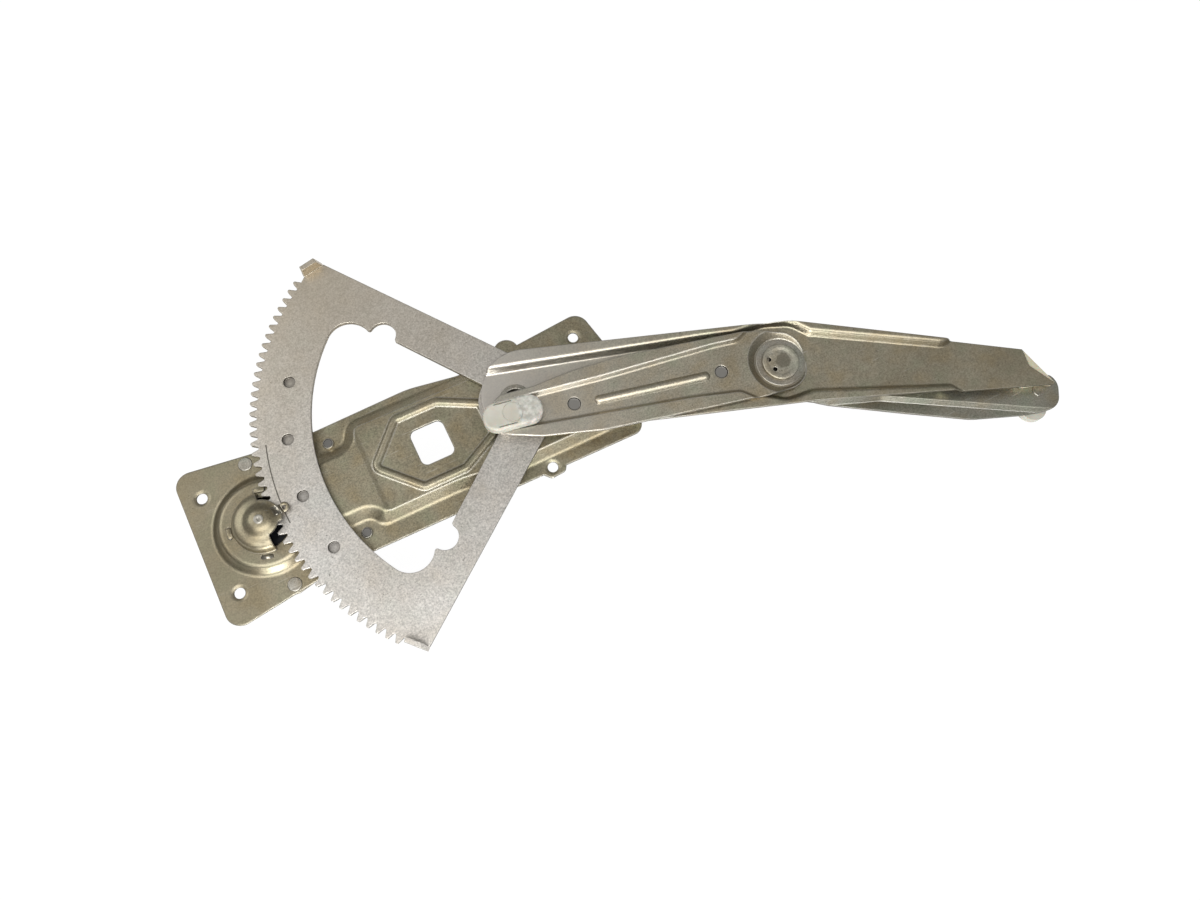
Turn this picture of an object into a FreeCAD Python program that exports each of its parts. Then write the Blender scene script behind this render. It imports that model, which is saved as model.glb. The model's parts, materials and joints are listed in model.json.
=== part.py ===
import FreeCAD, Part
import math
import os

# Hand wound window regulator of the scissor kind, lying on its mounting plane.
# Lengths are millimetres and angles are degrees.
# The origin is on the axis of the toothed sector, in the plane where the plate meets the door panel.
# X runs along the plate away from the clutch, Y across the plate, Z up towards the lift arms.

# Mounting plate
SHEET = 1.5
WEB_HEIGHT = 5.0
WEB_SLOPE_RUN = 7.0
FOLD_STEP = 0.7
FOLD_X = -95.4
PLATE_MID_Y = -4.4
PLATE_LEFT = -202.5
PLATE_RIGHT = 69.5
PLATE_CORNER_R = 9.0
WIDE_HALF = 50.3
TAPER_HALF = 43.2
WAIST_HALF = 41.2
NARROW_HALF = 42.2
TAPER_START_X = -148.0
TAPER_END_X = -117.0
FLANGE_TOP_WIDTH = 4.3
FLANGE_LOW_WIDTH = 12.1
FLANGE_LOW_WIDTH_RIGHT = 8.1
WEB_RIGHT = 58.0
NECK_TOP_Y = 21.6
NECK_LOW_Y = -26.8
CREST_R = 4.0
FOOT_R = 3.5
WINDOW_X = -55.7
WINDOW_Y = -0.9
WINDOW_LONG = 21.0
WINDOW_WIDE = 23.3
WINDOW_CORNER_R = 4.0
RIB_HALF_WIDTH = 2.9
RIB_TOP_HALF_WIDTH = 1.1
RIB_HEIGHT = 1.3
RIB_ROUND = 1.6
RIB_LEFT = -92.5
RIB_SHOULDER_LEFT = -70.5
RIB_SHOULDER_RIGHT = -43.6
RIB_RIGHT = -19.5
RIB_HALF = 22.9
RIB_END_HALF = 10.5
RIB_CORNER_R = 4.0
HOLE_R = 3.2
HOLE_RIM_R = 5.0
HOLE_RIM_DEPTH = 0.5
LEFT_HOLE_X = -190.8
LEFT_HOLE_PITCH = 61.5
TOP_HOLE = (51.6, 26.1)
TAB_HOLE = (3.8, -44.7)
TAB_REACH = 6.2
EAR_X = 9.5
EAR_R = 8.0

# Sector gear
MODULE = 2.0
CIRCLE_TEETH = 156
SECTOR_TEETH = 42
PRESSURE_ANGLE = 20.0
BACKLASH = 0.34
ADDENDUM = 1.0
DEDENDUM = 1.25
SECTOR_T = 3.0
SECTOR_GAP = 0.9
SECTOR_AXIS = 172.86
SPOKE_HALF_ANGLE = 44.8
SPOKE_OUTER = 25.7
HUB_WINDOW_R = 22.5
RIM_INNER_R = 122.1
LOBE_R = 8.0
LOBE_DISTANCE = 92.1
LOBE_ANGLE = 45.8
CORNER_LOBE_R = 14.0
CORNER_LOBE_ANGLE = 38.1
CUSP_R = 1.5
PIP_CIRCLE_R = 136.3
PIP_R = 3.5
PIP_DEPTH = 2.0
PIP_COUNT = 4
PIP_FIRST_ANGLE = 149.7
PIP_STEP = 15.17
STOP_TAB_HEIGHT = 8.0
STOP_TAB_LENGTH = 14.0
TOP_TAB_MID = (-77.2, 131.0)
TOP_TAB_ANGLE = 12.0
LOW_TAB_MID = (-109.6, -106.2)
LOW_TAB_ANGLE = -47.0

# Pinion and spring clutch
PINION_TEETH = 7
MESH_SLANT = 1.5
MESH_PHASE = 0.32
PINION_OVERLAP = 2.3
BOSS_FOOT_R = 30.0
BOSS_TOP_R = 25.5
PINION_WELL_R = 15.5
CAP_T = 1.3
CAP_FOOT_R = 18.2
CAP_SHOULDER_R = 17.2
CAP_SHOULDER_HEIGHT = 5.0
CAP_TOP_R = 9.6
CAP_HEIGHT = 11.5
CAP_TAB_WIDTH = 6.5
CAP_TAB_REACH = 2.4
CAP_TAB_ANGLES = (173.0, 77.0, 255.0)
EAR_LUG_R = 3.2
EAR_WIDTH = 5.2
JOURNAL_R = 2.7
RUNNING = 0.08
DRUM_INNER_R = 20.2
DRUM_T = 1.4
DRUM_DEPTH = 11.5
FLANGE_MARGIN = 5.5
SPINDLE_R = 6.0
SPINDLE_JOURNAL_R = 6.6
JOURNAL_OVERHANG = 0.5
SPINDLE_REACH = 26.0
SPLINE_LENGTH = 14.0
SPLINE_R = 5.4
SPLINE_TEETH = 20
SPLINE_DEPTH = 0.7
SPRING_WIRE = 1.8
SPRING_TURNS = 3.5
TANG_LENGTH = 5.0
CLAW_R = 14.5
CLAW_FINGER_R = 14.3
RIVET_R = 2.5
RIVET_HEAD_R = 4.3
RIVET_X = -160.8
RIVET_HALF_PITCH = 39.65
PIN_RIVET_X = -112.0
PIN_RIVET_TOP_Y = 26.1
PIN_RIVET_LOW_Y = -34.0

# Pivot of the sector
PAD_R = 16.5
PAD_RISE = 0.8
BUSH_R = 8.2
BUSH_BORE_R = 6.8
BUSH_FLANGE_R = 9.9
BUSH_FLANGE_T = 1.2
BUSH_COLLAR_T = 1.6
RUN_GAP = 0.3

# Lift arms
ARM_T = 1.8
FLANGE_HEIGHT = 4.5
FLANGE_RUN = 2.6
FRONT_STEP_HEIGHT = 2.2
FRONT_STEP_RUN = 2.2
REAR_STEP_HEIGHT = 3.0
REAR_STEP_RUN = 2.4
ARM_BEND_R = 1.6
ARM_CREST_R = 3.0
FRONT_BEND_R = 1.4
REAR_BEND_R = 1.2
SCISSOR = (158.0, -47.8)
SCISSOR_R = 7.0
SCISSOR_HEAD_R = 11.6
SCISSOR_RING_R = 15.3
RIVET_MARK_R = 1.3
MAIN_PIN = (301.4, -119.5)
FRONT_ARM_END = (-5.0, -7.7)
FRONT_PIN = (-6.3, -10.6)
REAR_PIN = (305.0, -132.5)
FRONT_LIFT = 4.7
REAR_DROP = 7.7
FRONT_MARK_R = 3.9
FRONT_MARK_DEPTH = 0.9
FRONT_MARK_NEAR = 38.6
FRONT_MARK_FAR = 131.1
COUNTERSINK = 0.9
BOSS_SLOPE = 5.0

# Sliding shoes
SHOE_LENGTH = 36.0
MAIN_SHOE_LENGTH = 27.0
SHOE_WIDTH = 17.5
SHOE_T = 7.0
SHOE_ROOF = 1.6
PIN_R = 4.0
COLLAR_R = 6.0
MAIN_SHOE_ANGLE = -77.5
FRONT_SHOE_ANGLE = -9.5
REAR_SHOE_ANGLE = 52.0

# Values that follow from the ones above
PITCH_ANGLE = 360.0 / CIRCLE_TEETH
PITCH_R = MODULE * CIRCLE_TEETH / 2
TIP_R = PITCH_R + ADDENDUM * MODULE
ROOT_R = PITCH_R - DEDENDUM * MODULE
CENTRE_DISTANCE = MODULE * (CIRCLE_TEETH + PINION_TEETH) / 2
MESH_ANGLE = 180.0 + MESH_SLANT
CLUTCH_X = CENTRE_DISTANCE * math.cos(math.radians(MESH_ANGLE))
CLUTCH_Y = CENTRE_DISTANCE * math.sin(math.radians(MESH_ANGLE))
CLUTCH = (CLUTCH_X, CLUTCH_Y)
WEB_TOP = SHEET + WEB_HEIGHT
WEB_TOP_Y = PLATE_MID_Y + NARROW_HALF - FLANGE_TOP_WIDTH
WEB_LOW_Y = PLATE_MID_Y - NARROW_HALF + FLANGE_LOW_WIDTH
WEB_LOW_Y_RIGHT = PLATE_MID_Y - NARROW_HALF + FLANGE_LOW_WIDTH_RIGHT
PAD_UNDERSIDE = WEB_TOP - FOLD_STEP + PAD_RISE - SHEET
SECTOR_Z = WEB_TOP + SECTOR_GAP
ARM_Z = SECTOR_Z + SECTOR_T
ARM_TOP = ARM_Z + ARM_T
FRONT_Z = ARM_TOP + FRONT_LIFT
REAR_TOP = ARM_Z - REAR_DROP
FRONT_SHOE_LIFT = FRONT_STEP_HEIGHT
REAR_SHOE_LIFT = REAR_STEP_HEIGHT
CLEARANCE_ABOVE = 40.0
FAR = 600.0


def vec(x, y, z=0.0):
    return FreeCAD.Vector(x, y, z)


def polar(radius, angle, centre=(0.0, 0.0)):
    a = math.radians(angle)
    return (centre[0] + radius * math.cos(a), centre[1] + radius * math.sin(a))


def place(shape, centre, angle, z=0.0):
    """Turn a shape about its own Z axis and set it down at a plan position."""
    moved = shape.copy()
    moved.rotate(vec(0, 0), vec(0, 0, 1), angle)
    moved.translate(vec(centre[0], centre[1], z))
    return moved


def round_corner(before, corner, after, radius):
    """The two tangent points and the middle of the arc that rounds one corner."""
    a = vec(before[0] - corner[0], before[1] - corner[1]).normalize()
    b = vec(after[0] - corner[0], after[1] - corner[1]).normalize()
    half = a.getAngle(b) / 2
    tangent = radius / math.tan(half)
    bisector = (a + b).normalize()
    here = vec(corner[0], corner[1])
    middle = here + bisector * (radius / math.sin(half) - radius)
    return here + a * tangent, middle, here + b * tangent


def outline(corners, z=0.0):
    """Closed wire through (x, y, radius) corners, each corner rounded by its radius."""
    starts = []
    ends = []
    middles = []
    for i, corner in enumerate(corners):
        after = corners[(i + 1) % len(corners)]
        if corner[2] > 0:
            first, middle, last = round_corner(corners[i - 1], corner, after, corner[2])
        else:
            first = middle = last = vec(corner[0], corner[1])
        starts.append(first)
        middles.append(middle)
        ends.append(last)
    edges = []
    for i in range(len(corners)):
        if (ends[i] - starts[i]).Length > 1e-6:
            edges.append(Part.Arc(starts[i], middles[i], ends[i]).toShape())
        onward = starts[(i + 1) % len(corners)]
        if (onward - ends[i]).Length > 1e-6:
            edges.append(Part.makeLine(ends[i], onward))
    wire = Part.Wire(edges)
    wire.translate(vec(0, 0, z))
    return wire


def grown(corners, distance):
    """Counterclockwise corners moved outward by a distance, with their radii kept concentric."""
    result = []
    for i, (x, y, radius) in enumerate(corners):
        before = corners[i - 1]
        after = corners[(i + 1) % len(corners)]
        a = vec(x - before[0], y - before[1]).normalize()
        b = vec(after[0] - x, after[1] - y).normalize()
        share = distance / (1 + a.dot(b))
        moved_x = x + (a.y + b.y) * share
        moved_y = y - (a.x + b.x) * share
        outward = a.x * b.y - a.y * b.x > 0
        moved_radius = radius + distance if outward else radius - distance
        result.append((moved_x, moved_y, max(moved_radius, 0.0) if radius > 0 else 0.0))
    return result


def prism(corners, low, high):
    return Part.Face(outline(corners, low)).extrude(vec(0, 0, high - low))


def frustum(lower, upper, low, high):
    """Solid with sloping sides between two outlines that have the same corners."""
    return Part.makeLoft([outline(lower, low), outline(upper, high)], True, True)


def disc(radius, low, high, centre=(0.0, 0.0)):
    return Part.makeCylinder(radius, high - low, vec(centre[0], centre[1], low))


def cone(low_r, high_r, low, high, centre=(0.0, 0.0)):
    return Part.makeCone(low_r, high_r, high - low, vec(centre[0], centre[1], low))


def revolved(points):
    """Solid of revolution about Z from a closed profile of (radius, height) points."""
    ring = [vec(r, 0, z) for r, z in points]
    face = Part.Face(Part.makePolygon(ring + [ring[0]]))
    return face.revolve(vec(0, 0), vec(0, 0, 1), 360)


def flat_edges(shape, z, inside=None):
    """Edges that lie in one level, and within a plan area where one is given."""
    found = []
    for edge in shape.Edges:
        box = edge.BoundBox
        if abs(box.ZMin - z) > 1e-4 or abs(box.ZMax - z) > 1e-4:
            continue
        middle = edge.valueAt((edge.FirstParameter + edge.LastParameter) / 2)
        if inside is None or inside.isInside(middle, 1e-3, True):
            found.append(edge)
    return found


def pressed_up(solid, thickness):
    """Sheet whose upper face is the top of a solid: everything deeper than the sheet is removed."""
    lowered = solid.copy()
    lowered.translate(vec(0, 0, -thickness))
    return solid.cut(lowered)


def pressed_down(solid, thickness):
    """Sheet whose lower face is the underside of a solid."""
    raised = solid.copy()
    raised.translate(vec(0, 0, thickness))
    return solid.cut(raised)


def along(start, end):
    """Length and direction angle of the line between two plan points."""
    dx = end[0] - start[0]
    dy = end[1] - start[1]
    return math.hypot(dx, dy), math.degrees(math.atan2(dy, dx))


def seat(origin, angle, corners):
    """Corners given along and across an arm, taken to the plan of the whole part."""
    a = math.radians(angle)
    result = []
    for u, n, radius in corners:
        x = origin[0] + u * math.cos(a) - n * math.sin(a)
        y = origin[1] + u * math.sin(a) + n * math.cos(a)
        result.append((x, y, radius))
    return result


def plate_outline():
    mid = PLATE_MID_Y
    return [
        (PLATE_LEFT, mid - WIDE_HALF, PLATE_CORNER_R),
        (TAPER_START_X, mid - TAPER_HALF, 60.0),
        (TAPER_END_X, mid - WAIST_HALF, 80.0),
        (PLATE_RIGHT - 5.0, mid - NARROW_HALF - 1.0, 7.0),
        (PLATE_RIGHT, -24.0, 30.0),
        (PLATE_RIGHT, 6.0, 30.0),
        (PLATE_RIGHT - 7.0, mid + NARROW_HALF + 2.4, PLATE_CORNER_R),
        (16.0, mid + NARROW_HALF - 1.6, 8.0),
        (-23.0, mid + NARROW_HALF - 4.8, 40.0),
        (-56.0, mid + NARROW_HALF + 0.4, 60.0),
        (TAPER_END_X, mid + WAIST_HALF, 80.0),
        (TAPER_START_X, mid + TAPER_HALF, 60.0),
        (PLATE_LEFT, mid + WIDE_HALF, PLATE_CORNER_R),
    ]


def web_foot():
    return [
        (CLUTCH[0], NECK_LOW_Y, 0.0),
        (-106.5, NECK_LOW_Y, 7.0),
        (-101.5, WEB_LOW_Y, 8.5),
        (-50.0, WEB_LOW_Y, 60.0),
        (-20.0, WEB_LOW_Y_RIGHT, 60.0),
        (WEB_RIGHT, WEB_LOW_Y_RIGHT, 14.0),
        (WEB_RIGHT, 18.0, 9.0),
        (34.0, 18.0, 12.0),
        (14.0, WEB_TOP_Y - 1.5, 20.0),
        (-98.0, WEB_TOP_Y, 10.0),
        (-104.5, NECK_TOP_Y, 7.0),
        (CLUTCH[0], NECK_TOP_Y, 0.0),
    ]


def rib_line():
    left = (RIB_LEFT, WINDOW_Y, RIB_CORNER_R)
    low = [
        (RIB_SHOULDER_LEFT, WINDOW_Y - RIB_HALF, RIB_CORNER_R),
        (RIB_SHOULDER_RIGHT, WINDOW_Y - RIB_HALF, RIB_CORNER_R),
        (RIB_RIGHT, WINDOW_Y - RIB_END_HALF, RIB_CORNER_R),
    ]
    high = [(x, 2 * WINDOW_Y - y, r) for x, y, r in reversed(low)]
    return [left] + low + high


def make_base_plate():
    body = prism(plate_outline(), -CLEARANCE_ABOVE, SHEET)
    ear = disc(EAR_R, -CLEARANCE_ABOVE, SHEET, (EAR_X, PLATE_MID_Y + NARROW_HALF - 3.0))
    tab = prism([
        (TAB_HOLE[0] - 11.0, PLATE_MID_Y - NARROW_HALF + 4.0, 0.0),
        (TAB_HOLE[0] - 3.5, TAB_HOLE[1] - TAB_REACH, 3.0),
        (TAB_HOLE[0] + 6.0, TAB_HOLE[1] - TAB_REACH + 0.6, 3.0),
        (TAB_HOLE[0] + 11.0, PLATE_MID_Y - NARROW_HALF + 4.0, 0.0),
    ], -CLEARANCE_ABOVE, SHEET)
    body = body.fuse([ear, tab]).removeSplitter()
    foot = web_foot()
    crest = grown(foot, -WEB_SLOPE_RUN)
    web = frustum(foot, crest, SHEET, WEB_TOP)
    boss = cone(BOSS_FOOT_R, BOSS_TOP_R, SHEET, WEB_TOP, CLUTCH)
    raised = web.fuse(boss).removeSplitter()
    raised = raised.makeFillet(CREST_R, flat_edges(raised, WEB_TOP))
    lowered_top = WEB_TOP - FOLD_STEP
    step = Part.makePolygon([
        vec(FOLD_X - 1.5, -60, WEB_TOP), vec(FOLD_X + 1.5, -60, lowered_top),
        vec(WEB_RIGHT + 5, -60, lowered_top), vec(WEB_RIGHT + 5, -60, WEB_TOP + 2),
        vec(FOLD_X - 1.5, -60, WEB_TOP + 2), vec(FOLD_X - 1.5, -60, WEB_TOP)])
    raised = raised.cut(Part.Face(step).extrude(vec(0, 120, 0)))
    rib_low = frustum(grown(rib_line(), RIB_HALF_WIDTH), grown(rib_line(), RIB_TOP_HALF_WIDTH),
                      lowered_top, lowered_top + RIB_HEIGHT)
    rib_void = frustum(grown(rib_line(), -RIB_HALF_WIDTH), grown(rib_line(), -RIB_TOP_HALF_WIDTH),
                       lowered_top, lowered_top + RIB_HEIGHT)
    pad = cone(PAD_R + 2, PAD_R, lowered_top, lowered_top + PAD_RISE)
    body = body.fuse(raised)
    inside = prism(grown(plate_outline(), -1.0), 0, SHEET + 1)
    body = body.makeFillet(FOOT_R, flat_edges(body, SHEET, inside))
    rib = rib_low.cut(rib_void)
    rib = rib.makeFillet(RIB_ROUND, flat_edges(rib, lowered_top + RIB_HEIGHT))
    body = body.fuse([rib, pad])
    plate = pressed_up(body, SHEET)
    window = prism([
        (WINDOW_X - WINDOW_LONG / 2, WINDOW_Y - WINDOW_WIDE / 2, WINDOW_CORNER_R),
        (WINDOW_X + WINDOW_LONG / 2, WINDOW_Y - WINDOW_WIDE / 2, WINDOW_CORNER_R),
        (WINDOW_X + WINDOW_LONG / 2, WINDOW_Y + WINDOW_WIDE / 2, WINDOW_CORNER_R),
        (WINDOW_X - WINDOW_LONG / 2, WINDOW_Y + WINDOW_WIDE / 2, WINDOW_CORNER_R),
    ], -1, WEB_TOP + 1)
    cuts = [window, disc(PINION_WELL_R, -1, WEB_TOP + 1, CLUTCH), disc(BUSH_R, -1, WEB_TOP + 1)]
    for hole in mounting_holes():
        cuts.append(disc(HOLE_R, -1, SHEET + 1, hole))
        cuts.append(cone(HOLE_R, HOLE_RIM_R, SHEET - HOLE_RIM_DEPTH, SHEET + 0.01, hole))
    for x, y in drum_rivet_places() + pin_rivet_places():
        cuts.append(disc(RIVET_R, -1, SHEET + 1, (x, y)))
    for angle in CAP_TAB_ANGLES:
        cuts.append(place(cap_tab(0.2), CLUTCH, angle, WEB_TOP))
    return plate.cut(cuts)


def mounting_holes():
    half = LEFT_HOLE_PITCH / 2
    return [(LEFT_HOLE_X, PLATE_MID_Y + half), (LEFT_HOLE_X, PLATE_MID_Y - half), TOP_HOLE, TAB_HOLE]


def drum_rivet_places():
    return [(RIVET_X, PLATE_MID_Y + RIVET_HALF_PITCH), (RIVET_X, PLATE_MID_Y - RIVET_HALF_PITCH)]


def pin_rivet_places():
    return [(PIN_RIVET_X, PIN_RIVET_TOP_Y), (PIN_RIVET_X, PIN_RIVET_LOW_Y)]


def cap_tab(play):
    """One tongue at the foot of the pinion cap, from its foot radius outward and down, grown by a play."""
    tongue = Part.makeBox(CAP_T + 2 * play, CAP_TAB_WIDTH + 2 * play, SHEET + 2.0)
    tongue.translate(vec(CAP_FOOT_R + CAP_TAB_REACH - CAP_T - play, -CAP_TAB_WIDTH / 2 - play, -SHEET - 0.8))
    return tongue


def make_pinion_cap():
    shoulder_z = CAP_SHOULDER_HEIGHT
    outer = [(CAP_FOOT_R, 0.0), (CAP_SHOULDER_R, shoulder_z)]
    inner = []
    steps = 6
    rise = CAP_HEIGHT - shoulder_z
    width = CAP_SHOULDER_R - CAP_TOP_R
    for i in range(1, steps + 1):
        a = math.radians(90.0 * i / steps)
        outer.append((CAP_TOP_R + width * math.cos(a), shoulder_z + rise * math.sin(a)))
    for i in range(steps, -1, -1):
        a = math.radians(90.0 * i / steps)
        inner.append((CAP_TOP_R + (width - CAP_T) * math.cos(a), shoulder_z + (rise - CAP_T) * math.sin(a)))
    inner.append((CAP_FOOT_R - CAP_T, 0.0))
    axis_points = [(0.0, CAP_HEIGHT), (0.0, CAP_HEIGHT - CAP_T)]
    cap = place(revolved(outer + axis_points + inner), CLUTCH, 0, WEB_TOP)
    tabs = []
    for angle in CAP_TAB_ANGLES:
        shelf = Part.makeBox(CAP_T + CAP_TAB_REACH, CAP_TAB_WIDTH, CAP_T)
        shelf.translate(vec(CAP_FOOT_R - CAP_T, -CAP_TAB_WIDTH / 2, 0))
        tabs.append(place(shelf.fuse(cap_tab(0.0)), CLUTCH, angle, WEB_TOP))
    cap = cap.fuse(tabs).removeSplitter()
    roof_r = CAP_TOP_R + 2.7
    sweep = disc(TIP_R + 1.0, WEB_TOP - 4, SECTOR_Z + SECTOR_T + 0.5)
    skirt = disc(TIP_R + 2.5, WEB_TOP - 4, CLEARANCE_ABOVE).cut(disc(roof_r, 0, CLEARANCE_ABOVE, CLUTCH))
    mouth = [(1.5, -24.0, 0.0), (24.0, -24.0, 0.0), (24.0, -3.0, 0.0), (1.5, -6.0, 0.0)]
    mouth = prism(mouth, 0, CAP_HEIGHT + 2)
    mouth = place(mouth, CLUTCH, 0, WEB_TOP - 4).cut(disc(CAP_TOP_R + 0.4, 0, CLEARANCE_ABOVE, CLUTCH))
    cap = cap.cut([sweep, skirt, mouth])
    ear_z = SECTOR_Z + SECTOR_T + 1.6
    strut_top = WEB_TOP + CAP_HEIGHT - 0.9
    strut = Part.Face(Part.makePolygon([
        vec(roof_r - 3.0, -EAR_WIDTH / 2, strut_top - CAP_T), vec(roof_r - 3.0, -EAR_WIDTH / 2, strut_top),
        vec(roof_r + 0.6, -EAR_WIDTH / 2, strut_top - 1.2), vec(roof_r + 2.6, -EAR_WIDTH / 2, ear_z + CAP_T),
        vec(roof_r + 2.6, -EAR_WIDTH / 2, ear_z), vec(roof_r + 1.0, -EAR_WIDTH / 2, ear_z),
        vec(roof_r - 0.4, -EAR_WIDTH / 2, strut_top - CAP_T - 1.4),
        vec(roof_r - 3.0, -EAR_WIDTH / 2, strut_top - CAP_T)]))
    ear = strut.extrude(vec(0, EAR_WIDTH, 0))
    ear = ear.fuse([disc(EAR_LUG_R, ear_z, ear_z + CAP_T, (roof_r + 2.6, 0)),
                    cone(1.0, 1.8, ear_z - 1.3, ear_z, (roof_r + 2.6, 0))])
    ear = ear.cut(cone(0.8, 1.7, ear_z + CAP_T - 0.9, ear_z + CAP_T, (roof_r + 2.6, 0)))
    cap = cap.fuse(place(ear, CLUTCH, 8.0)).removeSplitter()
    return cap.cut(disc(JOURNAL_R + RUNNING, WEB_TOP, CLEARANCE_ABOVE, CLUTCH))


def make_brake_drum():
    """Cup for the wrap spring behind the plate, with a flange that reaches all four rivets."""
    places = drum_rivet_places()[::-1] + pin_rivet_places()[::-1]
    order = [places[0], places[2], places[3], places[1]]
    flange = prism(grown([(x, y, 0.1) for x, y in order], FLANGE_MARGIN), -SHEET, 0.0)
    cup = disc(DRUM_INNER_R + DRUM_T, -DRUM_DEPTH, 0.0, CLUTCH)
    drum = flange.fuse(cup)
    drum = drum.cut(disc(DRUM_INNER_R, -DRUM_DEPTH + DRUM_T, 1.0, CLUTCH))
    drum = drum.makeFillet(2.0, flat_edges(drum, -DRUM_DEPTH))
    holes = [disc(SPINDLE_JOURNAL_R + RUNNING, -DRUM_DEPTH - 1, 1.0, CLUTCH)]
    for spot in places:
        holes.append(disc(RIVET_R, -SHEET - 1, 1.0, spot))
    return drum.cut(holes)


def make_rivets(places, front_r, front_t):
    rivets = []
    for spot in places:
        shank = disc(RIVET_R, -SHEET, SHEET, spot)
        front = cone(front_r, front_r - 0.5, SHEET, SHEET + front_t, spot)
        back = cone(RIVET_HEAD_R - 0.8, RIVET_HEAD_R, -SHEET - 1.4, -SHEET, spot)
        rivets.append(shank.fuse([front, back]).removeSplitter())
    return Part.makeCompound(rivets)


def tooth_profile():
    """Points of one sector tooth and the root after it, as (radius, angle) pairs."""
    slope = math.tan(math.radians(PRESSURE_ANGLE))
    half = math.pi * MODULE / 4 - BACKLASH / 4
    blunt = 0.35
    low_r = ROOT_R + blunt
    high_r = TIP_R - blunt
    low_half = math.degrees((half + (PITCH_R - low_r) * slope) / low_r)
    high_half = math.degrees((half - (high_r - PITCH_R) * slope) / high_r)
    return low_r, low_half, high_r, high_half


def make_sector_gear():
    low_r, low_half, high_r, high_half = tooth_profile()
    first = MESH_ANGLE - (MESH_PHASE + 24) * PITCH_ANGLE
    edges = []

    def at(radius, angle):
        x, y = polar(radius, angle)
        return vec(x, y)

    for k in range(SECTOR_TEETH):
        a = first + k * PITCH_ANGLE
        edges.append(Part.makeLine(at(low_r, a - low_half), at(high_r, a - high_half)))
        edges.append(Part.Arc(at(high_r, a - high_half), at(TIP_R, a), at(high_r, a + high_half)).toShape())
        edges.append(Part.makeLine(at(high_r, a + high_half), at(low_r, a + low_half)))
        if k < SECTOR_TEETH - 1:
            bottom = at(ROOT_R, a + PITCH_ANGLE / 2)
            next_foot = at(low_r, a + PITCH_ANGLE - low_half)
            edges.append(Part.Arc(at(low_r, a + low_half), bottom, next_foot).toShape())
    start = at(low_r, first - low_half)
    end = at(low_r, first + (SECTOR_TEETH - 1) * PITCH_ANGLE + low_half)
    top_edge = SECTOR_AXIS - SPOKE_HALF_ANGLE
    low_edge = SECTOR_AXIS + SPOKE_HALF_ANGLE
    top_corner = tab_line(TOP_TAB_MID, TOP_TAB_ANGLE)
    low_corner = tab_line(LOW_TAB_MID, LOW_TAB_ANGLE)
    hub_top = at(SPOKE_OUTER, top_edge - 90)
    hub_low = at(SPOKE_OUTER, low_edge + 90)
    hub_side = at(SPOKE_OUTER, SECTOR_AXIS + 180)
    path = [end, low_corner[0], low_corner[1], hub_low]
    for a, b in zip(path, path[1:]):
        edges.append(Part.makeLine(a, b))
    edges.append(Part.Arc(hub_low, hub_side, hub_top).toShape())
    path = [hub_top, top_corner[1], top_corner[0], start]
    for a, b in zip(path, path[1:]):
        edges.append(Part.makeLine(a, b))
    sector = Part.Face(Part.Wire(edges)).extrude(vec(0, 0, SECTOR_T))
    sector.translate(vec(0, 0, SECTOR_Z))
    low = SECTOR_Z - 1
    high = SECTOR_Z + SECTOR_T + 1
    lobes = []
    lobe_at = polar(LOBE_DISTANCE, LOBE_ANGLE)
    corner_at = polar(RIM_INNER_R - CORNER_LOBE_R, CORNER_LOBE_ANGLE)
    rim_edge = polar(RIM_INNER_R, CORNER_LOBE_ANGLE)
    for side in (1, -1):
        lobes.append(disc(LOBE_R, low, high, (lobe_at[0], side * lobe_at[1])))
        lobes.append(disc(CORNER_LOBE_R, low, high, (corner_at[0], side * corner_at[1])))
    wedge = Part.Face(Part.Wire([
        Part.makeLine(vec(0, 0), vec(lobe_at[0], lobe_at[1])),
        Part.makeLine(vec(lobe_at[0], lobe_at[1]), vec(corner_at[0], corner_at[1])),
        Part.makeLine(vec(corner_at[0], corner_at[1]), vec(rim_edge[0], rim_edge[1])),
        Part.Arc(vec(*rim_edge), vec(RIM_INNER_R, 0), vec(rim_edge[0], -rim_edge[1])).toShape(),
        Part.makeLine(vec(rim_edge[0], -rim_edge[1]), vec(corner_at[0], -corner_at[1])),
        Part.makeLine(vec(corner_at[0], -corner_at[1]), vec(lobe_at[0], -lobe_at[1])),
        Part.makeLine(vec(lobe_at[0], -lobe_at[1]), vec(0, 0))]))
    opening = wedge.extrude(vec(0, 0, high - low))
    opening.translate(vec(0, 0, low))
    opening = opening.fuse(lobes).cut(disc(HUB_WINDOW_R, low, high)).removeSplitter()
    cusps = [edge for edge in opening.Edges if edge.BoundBox.ZLength > 1 and near_cusp(edge)]
    opening = opening.makeFillet(CUSP_R, cusps)
    opening.rotate(vec(0, 0), vec(0, 0, 1), SECTOR_AXIS)
    cuts = [opening, disc(BUSH_R + RUNNING, low, high)]
    for k in range(PIP_COUNT):
        spot = polar(PIP_CIRCLE_R, PIP_FIRST_ANGLE + k * PIP_STEP)
        cuts.append(disc(PIP_R, SECTOR_Z + SECTOR_T - PIP_DEPTH, high, spot))
    sector = sector.cut(cuts)
    for middle, angle in ((TOP_TAB_MID, TOP_TAB_ANGLE), (LOW_TAB_MID, LOW_TAB_ANGLE)):
        half = STOP_TAB_LENGTH / 2
        tab = Part.Face(Part.makePolygon([
            vec(-half, 0, 0), vec(half, 0, 0), vec(half - 3.5, 0, STOP_TAB_HEIGHT + SECTOR_T),
            vec(-half + 0.5, 0, STOP_TAB_HEIGHT + SECTOR_T), vec(-half, 0, 0)])).extrude(vec(0, SECTOR_T, 0))
        if middle[1] < 0:
            tab = tab.mirror(vec(0, 0), vec(0, 1, 0))
        sector = sector.fuse(place(tab, middle, angle, SECTOR_Z))
    return sector.removeSplitter()


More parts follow.
